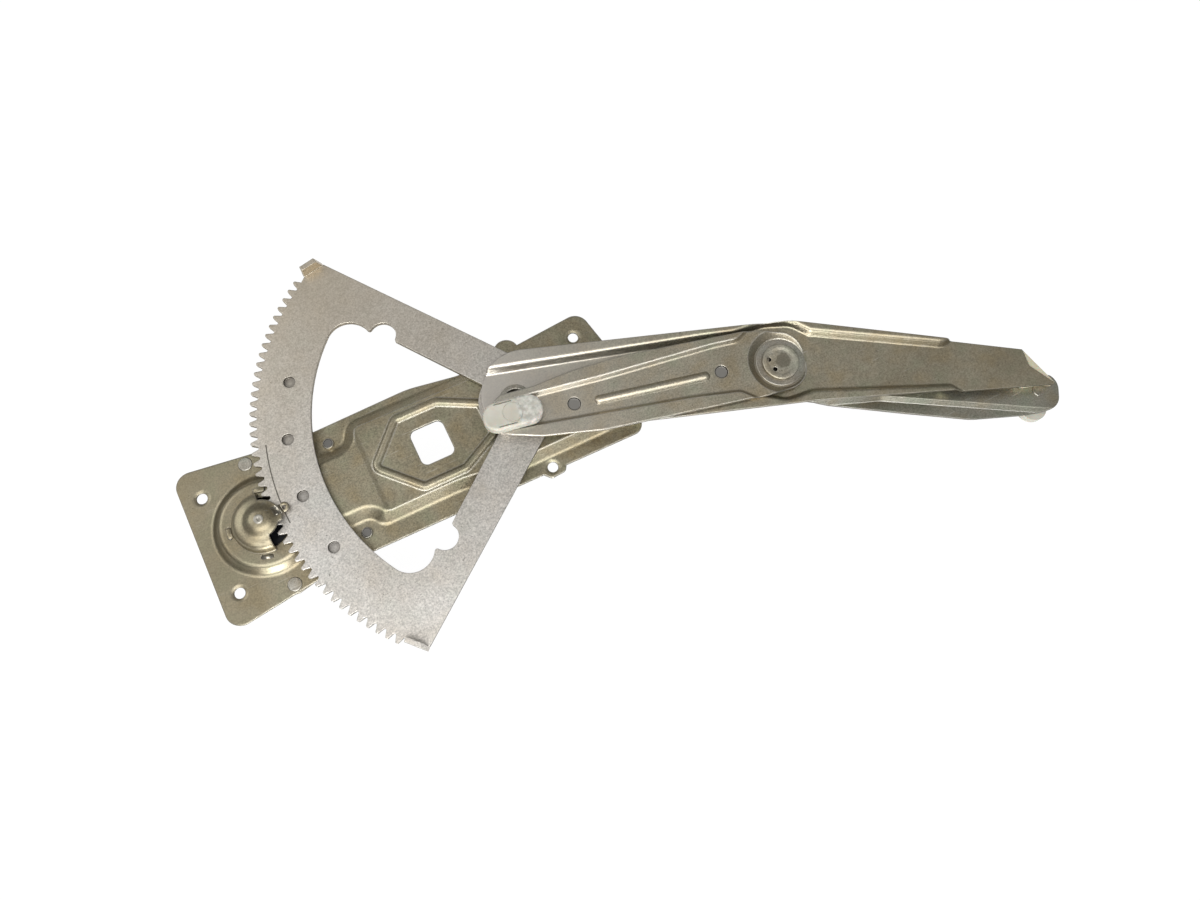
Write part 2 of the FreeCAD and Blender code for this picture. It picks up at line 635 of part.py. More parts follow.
def near_cusp(edge):
    """Whether an upright edge of the sector's opening is one of the sharp points beside the small lobes."""
    x = edge.BoundBox.XMin
    y = abs(edge.BoundBox.YMin)
    spot = polar(LOBE_DISTANCE, LOBE_ANGLE)
    return abs(math.hypot(x - spot[0], y - spot[1]) - LOBE_R) < 0.05


def tab_line(middle, angle):
    """The two ends of a stop tab's foot, the one nearer the teeth first."""
    half = STOP_TAB_LENGTH / 2
    a = polar(half, angle + 180, middle)
    b = polar(half, angle, middle)
    return vec(a[0], a[1]), vec(b[0], b[1])


def involute(angle):
    return math.tan(angle) - angle


def make_pinion():
    """Pinion with involute flanks that turn radial below the base circle, on its stepped shaft."""
    pitch_r = MODULE * PINION_TEETH / 2
    base_r = pitch_r * math.cos(math.radians(PRESSURE_ANGLE))
    tip_r = pitch_r + ADDENDUM * MODULE
    root_r = CENTRE_DISTANCE - TIP_R - 0.4
    at_pitch = math.pi / (2 * PINION_TEETH) - BACKLASH / (4 * pitch_r)
    at_pitch += involute(math.radians(PRESSURE_ANGLE))

    def half_angle(radius):
        if radius <= base_r:
            return at_pitch
        return at_pitch - involute(math.acos(base_r / radius))

    radii = [root_r + 0.5, base_r]
    steps = 3
    for i in range(1, steps + 1):
        radii.append(base_r + (tip_r - base_r) * i / steps)
    step = 360.0 / PINION_TEETH
    turn = MESH_ANGLE + 180 + step / 2 + MESH_PHASE * step
    edges = []

    def at(radius, angle):
        x, y = polar(radius, angle)
        return vec(x, y)

    for k in range(PINION_TEETH):
        a = turn + k * step
        rising = [at(r, a - math.degrees(half_angle(r))) for r in radii]
        falling = [at(r, a + math.degrees(half_angle(r))) for r in reversed(radii)]
        points = rising + falling
        for p, q in zip(points, points[1:]):
            edges.append(Part.makeLine(p, q))
        onward = at(radii[0], a + step - math.degrees(half_angle(radii[0])))
        edges.append(Part.Arc(falling[-1], at(root_r, a + step / 2), onward).toShape())
    low = SECTOR_Z - 0.6
    high = SECTOR_Z + SECTOR_T + PINION_OVERLAP
    teeth = Part.Face(Part.Wire(edges)).extrude(vec(0, 0, high - low))
    teeth = place(teeth, CLUTCH, 0, low)
    shaft_top = WEB_TOP + CAP_HEIGHT + 0.6
    neck = disc(root_r, claw_top(), low, CLUTCH)
    journal = disc(JOURNAL_R, high, shaft_top - 0.3, CLUTCH)
    peened = cone(JOURNAL_R, JOURNAL_R - 0.7, shaft_top - 0.3, shaft_top, CLUTCH)
    tail = disc(JOURNAL_R, spindle_top() - 4.0, claw_top(), CLUTCH)
    pinion = teeth.fuse([neck, journal, peened, tail]).removeSplitter()
    dimple = cone(0.4, 1.1, shaft_top - 0.5, shaft_top, CLUTCH)
    return pinion.cut(dimple)


def claw_top():
    return WEB_TOP - SHEET - 1.0


def spindle_top():
    return -DRUM_DEPTH + DRUM_T + 5.0


def make_clutch_claw():
    """Driven disc under the pinion with a finger that reaches down between the spring's ends."""
    top = claw_top()
    plate = disc(CLAW_R, top - SHEET, top, CLUTCH)
    finger = [(9.5, -6.0, 1.0), (CLAW_FINGER_R, -6.0, 1.0), (CLAW_FINGER_R, 6.0, 1.0), (9.5, 6.0, 1.0)]
    finger = place(prism(finger,
                         -DRUM_DEPTH + DRUM_T + 2.2, top - SHEET), CLUTCH, 30.0)
    return plate.fuse(finger).removeSplitter().cut(disc(JOURNAL_R, -CLEARANCE_ABOVE, CLEARANCE_ABOVE, CLUTCH))


def make_brake_spring():
    """Square wire wound to lie just inside the drum, with both ends turned inward."""
    mean_r = DRUM_INNER_R - RUN_GAP - SPRING_WIRE / 2
    pitch = SPRING_WIRE + 0.1
    height = pitch * SPRING_TURNS
    low = -DRUM_DEPTH + DRUM_T + 0.3 + SPRING_WIRE / 2
    helix = Part.makeHelix(pitch, height, mean_r)
    h = SPRING_WIRE / 2
    section = Part.makePolygon([vec(mean_r - h, 0, -h), vec(mean_r + h, 0, -h), vec(mean_r + h, 0, h),
                                vec(mean_r - h, 0, h), vec(mean_r - h, 0, -h)])
    coil = Part.Wire(helix).makePipeShell([section], True, True)
    tangs = []
    for turn, z, side in ((0.0, 0.0, -SPRING_WIRE), (360.0 * SPRING_TURNS, height, 0.0)):
        tang = Part.makeBox(TANG_LENGTH, SPRING_WIRE, SPRING_WIRE)
        tang.translate(vec(mean_r + h - TANG_LENGTH, side, z - h))
        tangs.append(place(tang, (0, 0), turn))
    spring = coil.fuse(tangs)
    return place(spring, CLUTCH, -40.0, low)


def make_crank_spindle():
    """Splined shaft that takes the hand crank, with its driver wing inside the drum."""
    floor = -DRUM_DEPTH + DRUM_T
    end = -DRUM_DEPTH - SPINDLE_REACH
    spindle = disc(SPINDLE_R, end + SPLINE_LENGTH, floor, CLUTCH)
    journal = disc(SPINDLE_JOURNAL_R, -DRUM_DEPTH - JOURNAL_OVERHANG, floor + 0.1, CLUTCH)
    core = disc(SPLINE_R - SPLINE_DEPTH / 2, end + 1.0, end + SPLINE_LENGTH, CLUTCH)
    nose = cone(SPLINE_R - SPLINE_DEPTH - 0.6, SPLINE_R - SPLINE_DEPTH / 2, end, end + 1.0, CLUTCH)
    serrations = []
    step = 360.0 / SPLINE_TEETH
    for k in range(SPLINE_TEETH):
        ridge = prism([(SPLINE_R - SPLINE_DEPTH - 0.2, -0.75, 0.0), (SPLINE_R, -0.15, 0.0),
                       (SPLINE_R, 0.15, 0.0), (SPLINE_R - SPLINE_DEPTH - 0.2, 0.75, 0.0)],
                      end + 1.0, end + SPLINE_LENGTH)
        serrations.append(place(ridge, CLUTCH, k * step))
    hub = disc(8.0, floor + 0.1, spindle_top(), CLUTCH)
    reach = CLAW_FINGER_R
    wing = place(prism([(5.0, -5.0, 1.0), (reach, -5.0, 1.0), (reach, 5.0, 1.0), (5.0, 5.0, 1.0)],
                       floor + 0.1, floor + 1.8), CLUTCH, 210.0)
    horn = place(prism([(9.5, -5.0, 1.0), (reach, -5.0, 1.0), (reach, 5.0, 1.0), (9.5, 5.0, 1.0)],
                       floor + 0.1, floor + 7.5), CLUTCH, 210.0)
    spindle = spindle.fuse([core, nose, journal, hub, wing, horn] + serrations).removeSplitter()
    return spindle.cut(disc(JOURNAL_R, spindle_top() - 4.0, spindle_top() + 1, CLUTCH))


def make_pivot_bush():
    """Hollow bearing stud: flange above the arm, journal, collar through the plate and a closed floor."""
    top = ARM_TOP + RUN_GAP + BUSH_FLANGE_T
    bottom = PAD_UNDERSIDE - BUSH_COLLAR_T
    bush = disc(BUSH_R, bottom, top - BUSH_FLANGE_T)
    collar = cone(BUSH_R + BUSH_COLLAR_T / 2, BUSH_R + BUSH_COLLAR_T, bottom, PAD_UNDERSIDE)
    bush = bush.fuse([disc(BUSH_FLANGE_R, top - BUSH_FLANGE_T, top), collar])
    bush = bush.cut(disc(BUSH_BORE_R, SECTOR_Z, top + 1))
    rim = flat_edges(bush, top)
    return bush.makeFillet(0.5, rim)


def make_pivot_washer():
    low = WEB_TOP - FOLD_STEP + PAD_RISE
    return disc(PAD_R - 0.5, low, SECTOR_Z - RUN_GAP).cut(disc(BUSH_R, low - 1, SECTOR_Z))


def main_arm_outline():
    return [
        (-19.5, -12.0, 12.0),
        (-6.0, -22.5, 20.0),
        (75.0, -49.5, 150.0),
        (166.0, -79.3, 80.0),
        (312.3, -134.5, 0.8),
        (303.0, -116.5, 3.0),
        (304.8, -105.3, 0.8),
        (175.9, -25.5, 40.0),
        (-19.5, 38.6, 27.0),
    ]


def main_arm_fold():
    return [
        (-45.0, -4.0, 0.0),
        (136.0, -58.0, 12.0),
        (151.0, -69.5, 12.0),
        (169.0, -71.0, 14.0),
        (250.0, -105.5, 6.0),
        (266.0, -133.0, 0.0),
        (335.0, -160.0, 0.0),
        (335.0, -80.0, 0.0),
        (275.0, -72.0, 0.0),
        (262.0, -84.5, 10.0),
        (184.0, -39.0, 8.0),
        (176.0, -28.5, 12.0),
        (160.0, -22.0, 20.0),
        (141.0, -20.0, 20.0),
        (120.0, -13.5, 60.0),
        (-45.0, 32.0, 0.0),
    ]


def slab(low, high):
    """Flat block that reaches beyond every piece."""
    return Part.makeBox(2 * FAR, 2 * FAR, high - low, vec(-FAR, -FAR, low))


def trough(plan, fold, floor_z, run, rise):
    """Pressed arm whose web lies at one level and whose edges rise to a flat lip."""
    wide = grown(fold, run)
    above = slab(floor_z + rise, floor_z + CLEARANCE_ABOVE)
    space = above.fuse(frustum(fold, wide, floor_z, floor_z + rise))
    return space, prism(plan, -CLEARANCE_ABOVE, 2 * CLEARANCE_ABOVE)


def make_main_arm():
    space, plan = trough(main_arm_outline(), main_arm_fold(), ARM_Z, FLANGE_RUN, FLANGE_HEIGHT)
    space = space.makeFillet(ARM_CREST_R, flat_edges(space, ARM_Z + FLANGE_HEIGHT, plan))
    space = space.makeFillet(ARM_BEND_R, flat_edges(space, ARM_Z))
    arm = pressed_down(space, ARM_T).common(plan)
    bores = [disc(BUSH_R + RUNNING, 0, CLEARANCE_ABOVE)]
    bores.append(disc(SCISSOR_R + RUNNING, 0, CLEARANCE_ABOVE, SCISSOR))
    return arm.cut(bores)


def front_arm_frame():
    return along(SCISSOR, FRONT_ARM_END)


def make_aux_arm_front():
    """Left half of the crossing arm, in front of the main arm; u runs from the crossing to the shoe pin."""
    reach, angle = front_arm_frame()
    plan_corners = [
        (-16.0, -16.0, 15.5), (12.0, -22.5, 30.0), (95.0, -21.5, 100.0), (128.0, -18.0, 40.0),
        (reach - 14.0, -12.5, 20.0), (reach + 12.5, -10.5, 10.0), (reach + 12.5, 12.5, 11.0),
        (reach - 14.0, 19.0, 20.0), (117.0, 22.5, 40.0), (57.0, 21.5, 100.0), (14.0, 20.5, 30.0),
        (-16.0, 16.0, 15.5)]
    fold_corners = [
        (-40.0, -44.0, 0.0), (10.0, -26.0, 6.0), (24.0, -16.4, 10.0), (40.0, -16.0, 60.0),
        (112.0, -9.0, 60.0), (reach + 40.0, -3.0, 0.0), (reach + 40.0, 9.0, 0.0),
        (60.0, 11.3, 60.0), (30.0, 13.4, 10.0), (12.0, 26.0, 6.0), (-40.0, 44.0, 0.0)]
    plan_shape = seat(SCISSOR, angle, plan_corners)
    fold = seat(SCISSOR, angle, fold_corners)
    space, plan = trough(plan_shape, fold, FRONT_Z, FRONT_STEP_RUN, FRONT_STEP_HEIGHT)
    space = space.makeFillet(FRONT_BEND_R, flat_edges(space, FRONT_Z))
    boss_low = ARM_TOP + RUN_GAP
    boss = cone(SCISSOR_RING_R + 0.7, SCISSOR_RING_R + 0.7 + BOSS_SLOPE, boss_low, FRONT_Z + 0.01, SCISSOR)
    space = space.fuse(boss)
    arm = pressed_down(space, ARM_T).common(plan)
    bead_a = seat(SCISSOR, angle, [(49.0, 0.9, 0), (116.0, 2.9, 0)])
    bead = raised_bead(bead_a[0], bead_a[1], FRONT_Z + ARM_T)
    arm = arm.fuse(bead)
    near = seat(SCISSOR, angle, [(FRONT_MARK_NEAR, 0.0, 0)])[0][:2]
    far = seat(SCISSOR, angle, [(FRONT_MARK_FAR, 2.4, 0)])[0][:2]
    cuts = [disc(SCISSOR_R, 0, CLEARANCE_ABOVE, SCISSOR)]
    cuts.append(disc(PIN_R - 1, 0, CLEARANCE_ABOVE, FRONT_PIN))
    cuts.append(flush_seat(FRONT_PIN, FRONT_Z))
    for spot in (near, far):
        cuts.append(disc(FRONT_MARK_R, FRONT_Z + ARM_T - FRONT_MARK_DEPTH, CLEARANCE_ABOVE, spot))
    return arm.cut(cuts).removeSplitter()


def flush_seat(spot, level):
    """Cone of a countersunk rivet end that closes flush with the lower face of its web."""
    return cone(PIN_R, PIN_R - 1, level, level + COUNTERSINK, spot)


def raised_bead(start, end, level):
    """Slot shaped swelling with sloping sides on top of a web."""
    length, angle = along(start, end)
    low = [(0, -2.6, 2.5), (length, -2.6, 2.5), (length, 2.6, 2.5), (0, 2.6, 2.5)]
    low = [(x + (-2.6 if x == 0 else 2.6), y, r) for x, y, r in low]
    high = grown(low, -1.1)
    bead = frustum(low, high, 0.0, 1.1)
    return place(bead, start, angle, level)


def make_aux_arm_rear():
    """Right half of the crossing arm, behind the main arm, with its edges turned away from it."""
    reach, angle = along(SCISSOR, REAR_PIN)
    end = reach + 13.5
    plan_corners = [
        (-17.0, -17.0, 16.5), (20.0, -19.6, 30.0), (82.0, -21.2, 60.0), (reach - 43.0, -21.8, 40.0),
        (reach - 10.0, -16.4, 30.0), (end, -10.2, 10.0), (end, 10.2, 10.0), (reach - 10.0, 16.4, 30.0),
        (reach - 43.0, 21.8, 40.0), (82.0, 21.2, 60.0), (20.0, 19.6, 30.0), (-17.0, 17.0, 16.5)]
    fold_corners = [
        (-40.0, -46.0, 0.0), (6.0, -27.5, 6.0), (27.0, -19.0, 9.0), (67.0, -12.0, 20.0),
        (end + 60.0, -10.8, 0.0), (end + 60.0, 10.8, 0.0), (67.0, 12.0, 20.0), (27.0, 19.0, 9.0),
        (6.0, 27.5, 6.0), (-40.0, 46.0, 0.0)]
    plan = prism(seat(SCISSOR, angle, plan_corners), -CLEARANCE_ABOVE, CLEARANCE_ABOVE)
    fold = seat(SCISSOR, angle, fold_corners)
    low = REAR_TOP - REAR_STEP_HEIGHT
    body = slab(low - CLEARANCE_ABOVE, low)
    body = body.fuse(frustum(grown(fold, REAR_STEP_RUN), fold, low, REAR_TOP))
    body = body.makeFillet(REAR_BEND_R, flat_edges(body, REAR_TOP))
    boss_top = ARM_Z - RUN_GAP
    boss = cone(SCISSOR_RING_R + BOSS_SLOPE + 1.0, SCISSOR_RING_R - 1.0, REAR_TOP - 1.0, boss_top, SCISSOR)
    body = body.fuse(boss)
    arm = pressed_up(body, ARM_T).common(plan)
    return arm.cut([disc(SCISSOR_R, -CLEARANCE_ABOVE, CLEARANCE_ABOVE, SCISSOR),
                    disc(PIN_R - 1, -CLEARANCE_ABOVE, CLEARANCE_ABOVE, REAR_PIN)])


def make_scissor_ring():
    low = ARM_TOP + RUN_GAP + ARM_T
    ring = disc(SCISSOR_RING_R, low, low + 1.0, SCISSOR).cut(disc(SCISSOR_R, low - 1, low + 2, SCISSOR))
    return ring.makeFillet(0.4, flat_edges(ring, low + 1.0)[:1])


def make_scissor_rivet():
    top = ARM_TOP + RUN_GAP + ARM_T + 1.0
    bottom = ARM_Z - RUN_GAP - ARM_T
    rivet = disc(SCISSOR_R, bottom, top, SCISSOR)
    head = disc(SCISSOR_HEAD_R, top, top + 2.0, SCISSOR)
    head = head.makeFillet(0.8, flat_edges(head, top + 2.0))
    tail = cone(SCISSOR_R + 2.0, SCISSOR_R + 3.2, bottom - 2.0, bottom, SCISSOR)
    rivet = rivet.fuse([head, tail]).removeSplitter()
    dish = cone(7.5, 9.5, top + 1.6, top + 2.01, SCISSOR)
    marks = [disc(RIVET_MARK_R, top - 1.0, top + 3, polar(7.4, 146.0, SCISSOR)),
             disc(RIVET_MARK_R, top - 1.0, top + 3, polar(6.4, 208.0, SCISSOR))]
    return rivet.cut([dish] + marks)


def make_shoe_pin(spot, web_low, web_high, direction, lift=0.0, ending="flush"):
    """Pin on an arm's web, with a collar that lifts the shoe clear of the arm's edges.

    Its far end is welded to the web, closes flush with it or is peened over it.
    """
    start = web_high if direction > 0 else web_low
    shank_end = start + direction * (lift + SHOE_T - SHOE_ROOF - 0.2)
    low, high = sorted((start, shank_end))
    neck = disc(PIN_R, low, high, spot)
    if lift > 0:
        collar_low, collar_high = sorted((start, start + direction * lift))
        neck = neck.fuse(disc(COLLAR_R, collar_low, collar_high, spot))
    if ending == "welded":
        return neck
    through = disc(PIN_R - 1, web_low, web_high, spot)
    if ending == "flush":
        return neck.fuse([through, flush_seat(spot, web_low)]).removeSplitter()
    far = web_low if direction > 0 else web_high
    rivet_low, rivet_high = sorted((far, far - direction * 0.7))
    peened = disc(PIN_R - 0.4, rivet_low, rivet_high, spot)
    return neck.fuse([through, peened]).removeSplitter()


def make_shoe(direction, length=SHOE_LENGTH):
    """Nylon sliding shoe: oval block with a blind socket for its pin; height runs from the arm outward."""
    half = length / 2
    wide = SHOE_WIDTH / 2
    corners = [(-half, -wide), (half, -wide), (half, wide), (-half, wide)]
    block = prism([(x, y, wide - 0.4) for x, y in corners], RUN_GAP, SHOE_T)
    block = block.makeFillet(1.6, flat_edges(block, SHOE_T))
    socket = disc(PIN_R + RUNNING, 0, SHOE_T - SHOE_ROOF)
    ring = disc(6.2, SHOE_T - 0.4, SHOE_T + 1).cut(disc(5.6, 0, SHOE_T + 1))
    shoe = block.cut([socket, ring])
    for side in (1, -1):
        slit = Part.makeBox(11.0, 0.8, 1.6)
        slit.translate(vec(-10.0, side * 7.0 - 0.4, SHOE_T - 1.6))
        shoe = shoe.cut(slit)
    if direction < 0:
        shoe = shoe.mirror(vec(0, 0), vec(0, 0, 1))
    return shoe


nodes = {
    "base_plate": make_base_plate(),
    "pinion_cap": make_pinion_cap(),
    "brake_drum": make_brake_drum(),
    "drum_rivets": make_rivets(drum_rivet_places(), RIVET_HEAD_R, 0.4),
    "pin_rivets": make_rivets(pin_rivet_places(), RIVET_R + 1.0, 1.4),
    "pivot_bush": make_pivot_bush(),
    "pivot_washer": make_pivot_washer(),
    "sector_gear": make_sector_gear(),
    "main_arm": make_main_arm(),
    "main_shoe_pin": make_shoe_pin(MAIN_PIN, ARM_Z, ARM_TOP, -1, 0.0, "welded"),
    "pinion": make_pinion(),
    "clutch_claw": make_clutch_claw(),
    "brake_spring": make_brake_spring(),
    "crank_spindle": make_crank_spindle(),
    "aux_arm_front": make_aux_arm_front(),
    "aux_arm_rear": make_aux_arm_rear(),
    "scissor_ring": make_scissor_ring(),
    "scissor_rivet": make_scissor_rivet(),
    "front_shoe_pin": make_shoe_pin(FRONT_PIN, FRONT_Z, FRONT_Z + ARM_T, 1, FRONT_SHOE_LIFT),
    "rear_shoe_pin": make_shoe_pin(REAR_PIN, REAR_TOP - ARM_T, REAR_TOP, -1, REAR_SHOE_LIFT, "peened"),
    "main_shoe": place(make_shoe(-1, MAIN_SHOE_LENGTH), MAIN_PIN, MAIN_SHOE_ANGLE, ARM_Z),
    "front_shoe": place(make_shoe(1), FRONT_PIN, FRONT_SHOE_ANGLE, FRONT_Z + ARM_T + FRONT_SHOE_LIFT),
    "rear_shoe": place(make_shoe(-1), REAR_PIN, REAR_SHOE_ANGLE, REAR_TOP - ARM_T - REAR_SHOE_LIFT),
}

for name, shape in nodes.items():
    solids = len(shape.Solids)
    print(name, "solids", solids, "valid", shape.isValid(), "volume", round(shape.Volume))
    shape.exportStep("parts/" + name + ".step")
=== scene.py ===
# %% [markdown]
# Dressing of the window regulator.
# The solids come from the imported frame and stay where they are.
# This script gives them procedural metals and nylon, lights them softly and sets the photograph's camera.

# %% Frame
import json
import math

import bpy
import numpy as np
from mathutils import Matrix, Vector


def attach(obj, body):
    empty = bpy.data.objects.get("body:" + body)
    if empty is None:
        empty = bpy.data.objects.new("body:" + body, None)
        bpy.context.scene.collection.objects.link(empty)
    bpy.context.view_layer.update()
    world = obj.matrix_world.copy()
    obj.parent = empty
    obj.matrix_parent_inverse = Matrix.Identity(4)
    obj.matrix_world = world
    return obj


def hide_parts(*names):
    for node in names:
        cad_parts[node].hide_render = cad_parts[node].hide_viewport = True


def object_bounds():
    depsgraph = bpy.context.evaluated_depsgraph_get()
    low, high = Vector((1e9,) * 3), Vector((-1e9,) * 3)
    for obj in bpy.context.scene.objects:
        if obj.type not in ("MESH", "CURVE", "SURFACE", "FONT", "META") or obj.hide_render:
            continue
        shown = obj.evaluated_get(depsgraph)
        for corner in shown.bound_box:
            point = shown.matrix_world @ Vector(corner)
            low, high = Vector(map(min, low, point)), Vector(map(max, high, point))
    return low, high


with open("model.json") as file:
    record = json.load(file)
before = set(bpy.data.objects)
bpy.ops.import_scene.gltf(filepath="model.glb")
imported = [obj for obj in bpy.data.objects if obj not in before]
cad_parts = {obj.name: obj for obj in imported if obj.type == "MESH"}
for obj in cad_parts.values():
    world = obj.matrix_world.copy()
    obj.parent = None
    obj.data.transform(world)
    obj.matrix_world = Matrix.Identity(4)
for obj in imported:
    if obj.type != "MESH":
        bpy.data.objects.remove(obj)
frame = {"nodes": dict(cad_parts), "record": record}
cad_bounds = [list(corner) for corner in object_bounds()]
print("nodes", len(frame["nodes"]), "bounds", cad_bounds)

# %% [markdown]
# Blender works in metres, and the named sizes here are in millimetres.
# Colours are written as sRGB hex values and turned linear by one function.

# %% Helpers
MM = 0.001


def linear(hex_colour):
    """Linear RGBA of an sRGB hex colour: c/12.92 below 0.04045, else ((c + 0.055) / 1.055) ** 2.4."""
    result = []
    for start in (0, 2, 4):
        c = int(hex_colour[start:start + 2], 16) / 255
        result.append(c / 12.92 if c <= 0.04045 else ((c + 0.055) / 1.055) ** 2.4)
    return (*result, 1.0)


def add(tree, kind, inputs=None, **settings):
    """One node with its settings, and each input either linked from a socket or given a value."""
    made = tree.nodes.new(kind)
    for key, value in settings.items():
        setattr(made, key, value)
    for key, value in (inputs or {}).items():
        if isinstance(value, bpy.types.NodeSocket):
            tree.links.new(value, made.inputs[key])
        else:
            made.inputs[key].default_value = value
    return made


def new_material(name):
    """Empty node material with its output, as (material, tree, output node)."""
    material = bpy.data.materials.new(name)
    material.use_nodes = True
    tree = material.node_tree
    tree.nodes.clear()
    output = add(tree, "ShaderNodeOutputMaterial")
    return material, tree, output


def noise(tree, coords, size_mm, detail=2.0, stretch=None):
    """Noise whose features are about size_mm across, from coordinates in metres."""
    vector = coords
    if stretch:
        vector = add(tree, "ShaderNodeVectorMath", {0: coords, 1: stretch}, operation="MULTIPLY").outputs[0]
    return add(tree, "ShaderNodeTexNoise", {"Vector": vector, "Scale": 1000.0 / size_mm, "Detail": detail})


def ramp(tree, value, stops):
    """Colour ramp from (position, colour) stops."""
    made = add(tree, "ShaderNodeValToRGB", {"Fac": value})
    elements = made.color_ramp.elements
    while len(elements) < len(stops):
        elements.new(0.5)
    for element, (position, colour) in zip(elements, stops):
        element.position = position
        element.color = colour
    return made.outputs["Color"]


def maths(tree, operation, *values):
    """One scalar operation on sockets or numbers."""
    return add(tree, "ShaderNodeMath", dict(enumerate(values)), operation=operation).outputs[0]


def mix(tree, factor, first, second, blend="MIX"):
    """Colour mix by a factor."""
    made = add(tree, "ShaderNodeMix", data_type="RGBA", blend_type=blend)
    for index, value in ((0, factor), (6, first), (7, second)):
        if isinstance(value, bpy.types.NodeSocket):
            tree.links.new(value, made.inputs[index])
        else:
            made.inputs[index].default_value = value
    return made.outputs[2]


# %% [markdown]
# The plate, the arms and the rivets are steel with a zinc plating that looks warm with age.
# A picture of sheet could be laid over them, but noise at several sizes follows what the plating shows:
# its tint drifts over centimetres, the rolled grain is about a millimetre wide, dull specks are a few
# millimetres across and scuffs run along the sheet. The roughness varies with the same grain.
# Bends and tools polish the edges, so a Bevel node finds those, and the cut faces stay dark.
# The pale tone on those edges is partly that polish and partly a painted highlight, laid on every bend, concave
# ones too.

# %% Plated steel
HUE_MM = 16.0
GRAIN_MM = 0.9
DULL_MM = 3.2
SCUFF_MM = 1.1
PIT_MM = 1.6
PIT_SHARE = 0.5
DULL_TONE = "6a6353"
SCUFF_TONE = "d9d6cc"
PIT_TONE = "3b382f"
WORN_AND_HIGHLIGHT_TONE = "e9e7df"
CUT_TONE = "4b463b"


def plated(name, hex_low, hex_high, roughness, drift_mm=35.0, speck=0.25, scuff=0.3, edge_bevel_mm=0.8,
           tinted=1.0, extra=None):
    """Plated or bare sheet steel; extra paints marks of its own over the colour, and on the arms painted light
    and shade.
    """
    material, tree, output = new_material(name)
    texture = add(tree, "ShaderNodeTexCoord")
    coords = texture.outputs["Object"]
    drift = noise(tree, coords, drift_mm, 3.0).outputs["Fac"]
    colour = ramp(tree, drift, [(0.32, linear(hex_low)), (0.68, linear(hex_high))])
    hue = noise(tree, coords, HUE_MM, 2.0, (1.0, 1.0, 0.2)).outputs["Fac"]
    tint = ramp(tree, hue, [(0.3, (0.93, 1.0, 0.97, 1)), (0.5, (1, 1, 1, 1)), (0.7, (1.0, 0.94, 0.84, 1))])
    colour = mix(tree, tinted, colour, tint, "MULTIPLY")
    grain = noise(tree, coords, GRAIN_MM, 4.0).outputs["Fac"]
    grain_tone = ramp(tree, grain, [(0.3, (0.58, 0.58, 0.58, 1)), (0.68, (1, 1, 1, 1))])
    colour = mix(tree, 1.0, colour, grain_tone, "MULTIPLY")
    dull = noise(tree, coords, DULL_MM, 5.0).outputs["Fac"]
    dull_mask = ramp(tree, dull, [(0.62, (0, 0, 0, 1)), (0.74, (1, 1, 1, 1))])
    dull_share = maths(tree, "MULTIPLY", dull_mask, speck)
    colour = mix(tree, dull_share, colour, linear(DULL_TONE))
    lines = noise(tree, coords, SCUFF_MM, 3.0, (0.06, 1.0, 1.0)).outputs["Fac"]
    line_mask = ramp(tree, lines, [(0.66, (0, 0, 0, 1)), (0.72, (1, 1, 1, 1))])
    line_share = maths(tree, "MULTIPLY", line_mask, scuff)
    colour = mix(tree, line_share, colour, linear(SCUFF_TONE))
    pit = noise(tree, coords, PIT_MM, 1.0).outputs["Fac"]
    pit_mask = ramp(tree, pit, [(0.735, (0, 0, 0, 1)), (0.765, (1, 1, 1, 1))])
    colour = mix(tree, maths(tree, "MULTIPLY", pit_mask, PIT_SHARE), colour, linear(PIT_TONE))
    # Edges from a Bevel node: pale, partly polish and partly a painted highlight; and the dark cut faces of the
    # sheet
    edge_bevel = add(tree, "ShaderNodeBevel", {"Radius": edge_bevel_mm * MM}, samples=4)
    true_normal = add(tree, "ShaderNodeNewGeometry").outputs["Normal"]
    agree = add(tree, "ShaderNodeVectorMath", {0: edge_bevel.outputs[0], 1: true_normal}, operation="DOT_PRODUCT")
    wear_and_highlight = add(tree, "ShaderNodeMapRange", {
        0: agree.outputs["Value"], 1: 0.995, 2: 0.93, 3: 0.0, 4: 0.55}).outputs[0]
    # Pale tone on the edges: partly polish, partly a painted highlight
    colour = mix(tree, wear_and_highlight, colour, linear(WORN_AND_HIGHLIGHT_TONE))
    facing = add(tree, "ShaderNodeSeparateXYZ", {0: texture.outputs["Normal"]}).outputs[2]
    upright = maths(tree, "ABSOLUTE", facing)
    cut = add(tree, "ShaderNodeMapRange", {0: upright, 1: 0.3, 2: 0.08, 3: 0.0, 4: 0.6}).outputs[0]
    colour = mix(tree, cut, colour, linear(CUT_TONE))
    if extra:
        colour = extra(tree, coords, colour)
    rough = maths(tree, "MULTIPLY_ADD", grain, 0.16, roughness - 0.08)
    rough = maths(tree, "MULTIPLY_ADD", dull_share, 0.4, rough)
    bump = add(tree, "ShaderNodeBump", {
        "Height": grain, "Strength": 0.22, "Distance": 0.00012, "Normal": edge_bevel.outputs[0]})
    shader = add(tree, "ShaderNodeBsdfPrincipled", {
        "Base Color": colour, "Roughness": rough, "Metallic": 0.9, "Normal": bump.outputs["Normal"]})
    tree.links.new(shader.outputs["BSDF"], output.inputs["Surface"])
    return material


# %% [markdown]
# Painted shade lies in the round marks pressed in the sector and the front arm; the rivets get marks and a
# painted highlight.
# It could be painted on an image, but a distance in plan compared with a radius needs none and stays sharp.
# Such a paint is a function that takes a colour and gives it back with the mark laid over it.

# %% Marks
# Blind marks pressed in the sector: the radius of their circle, their angles and their own radius
PIP_CIRCLE = 136.3
PIP_ANGLES = [149.7 + 15.17 * k for k in range(4)]
PIP_R = 3.5
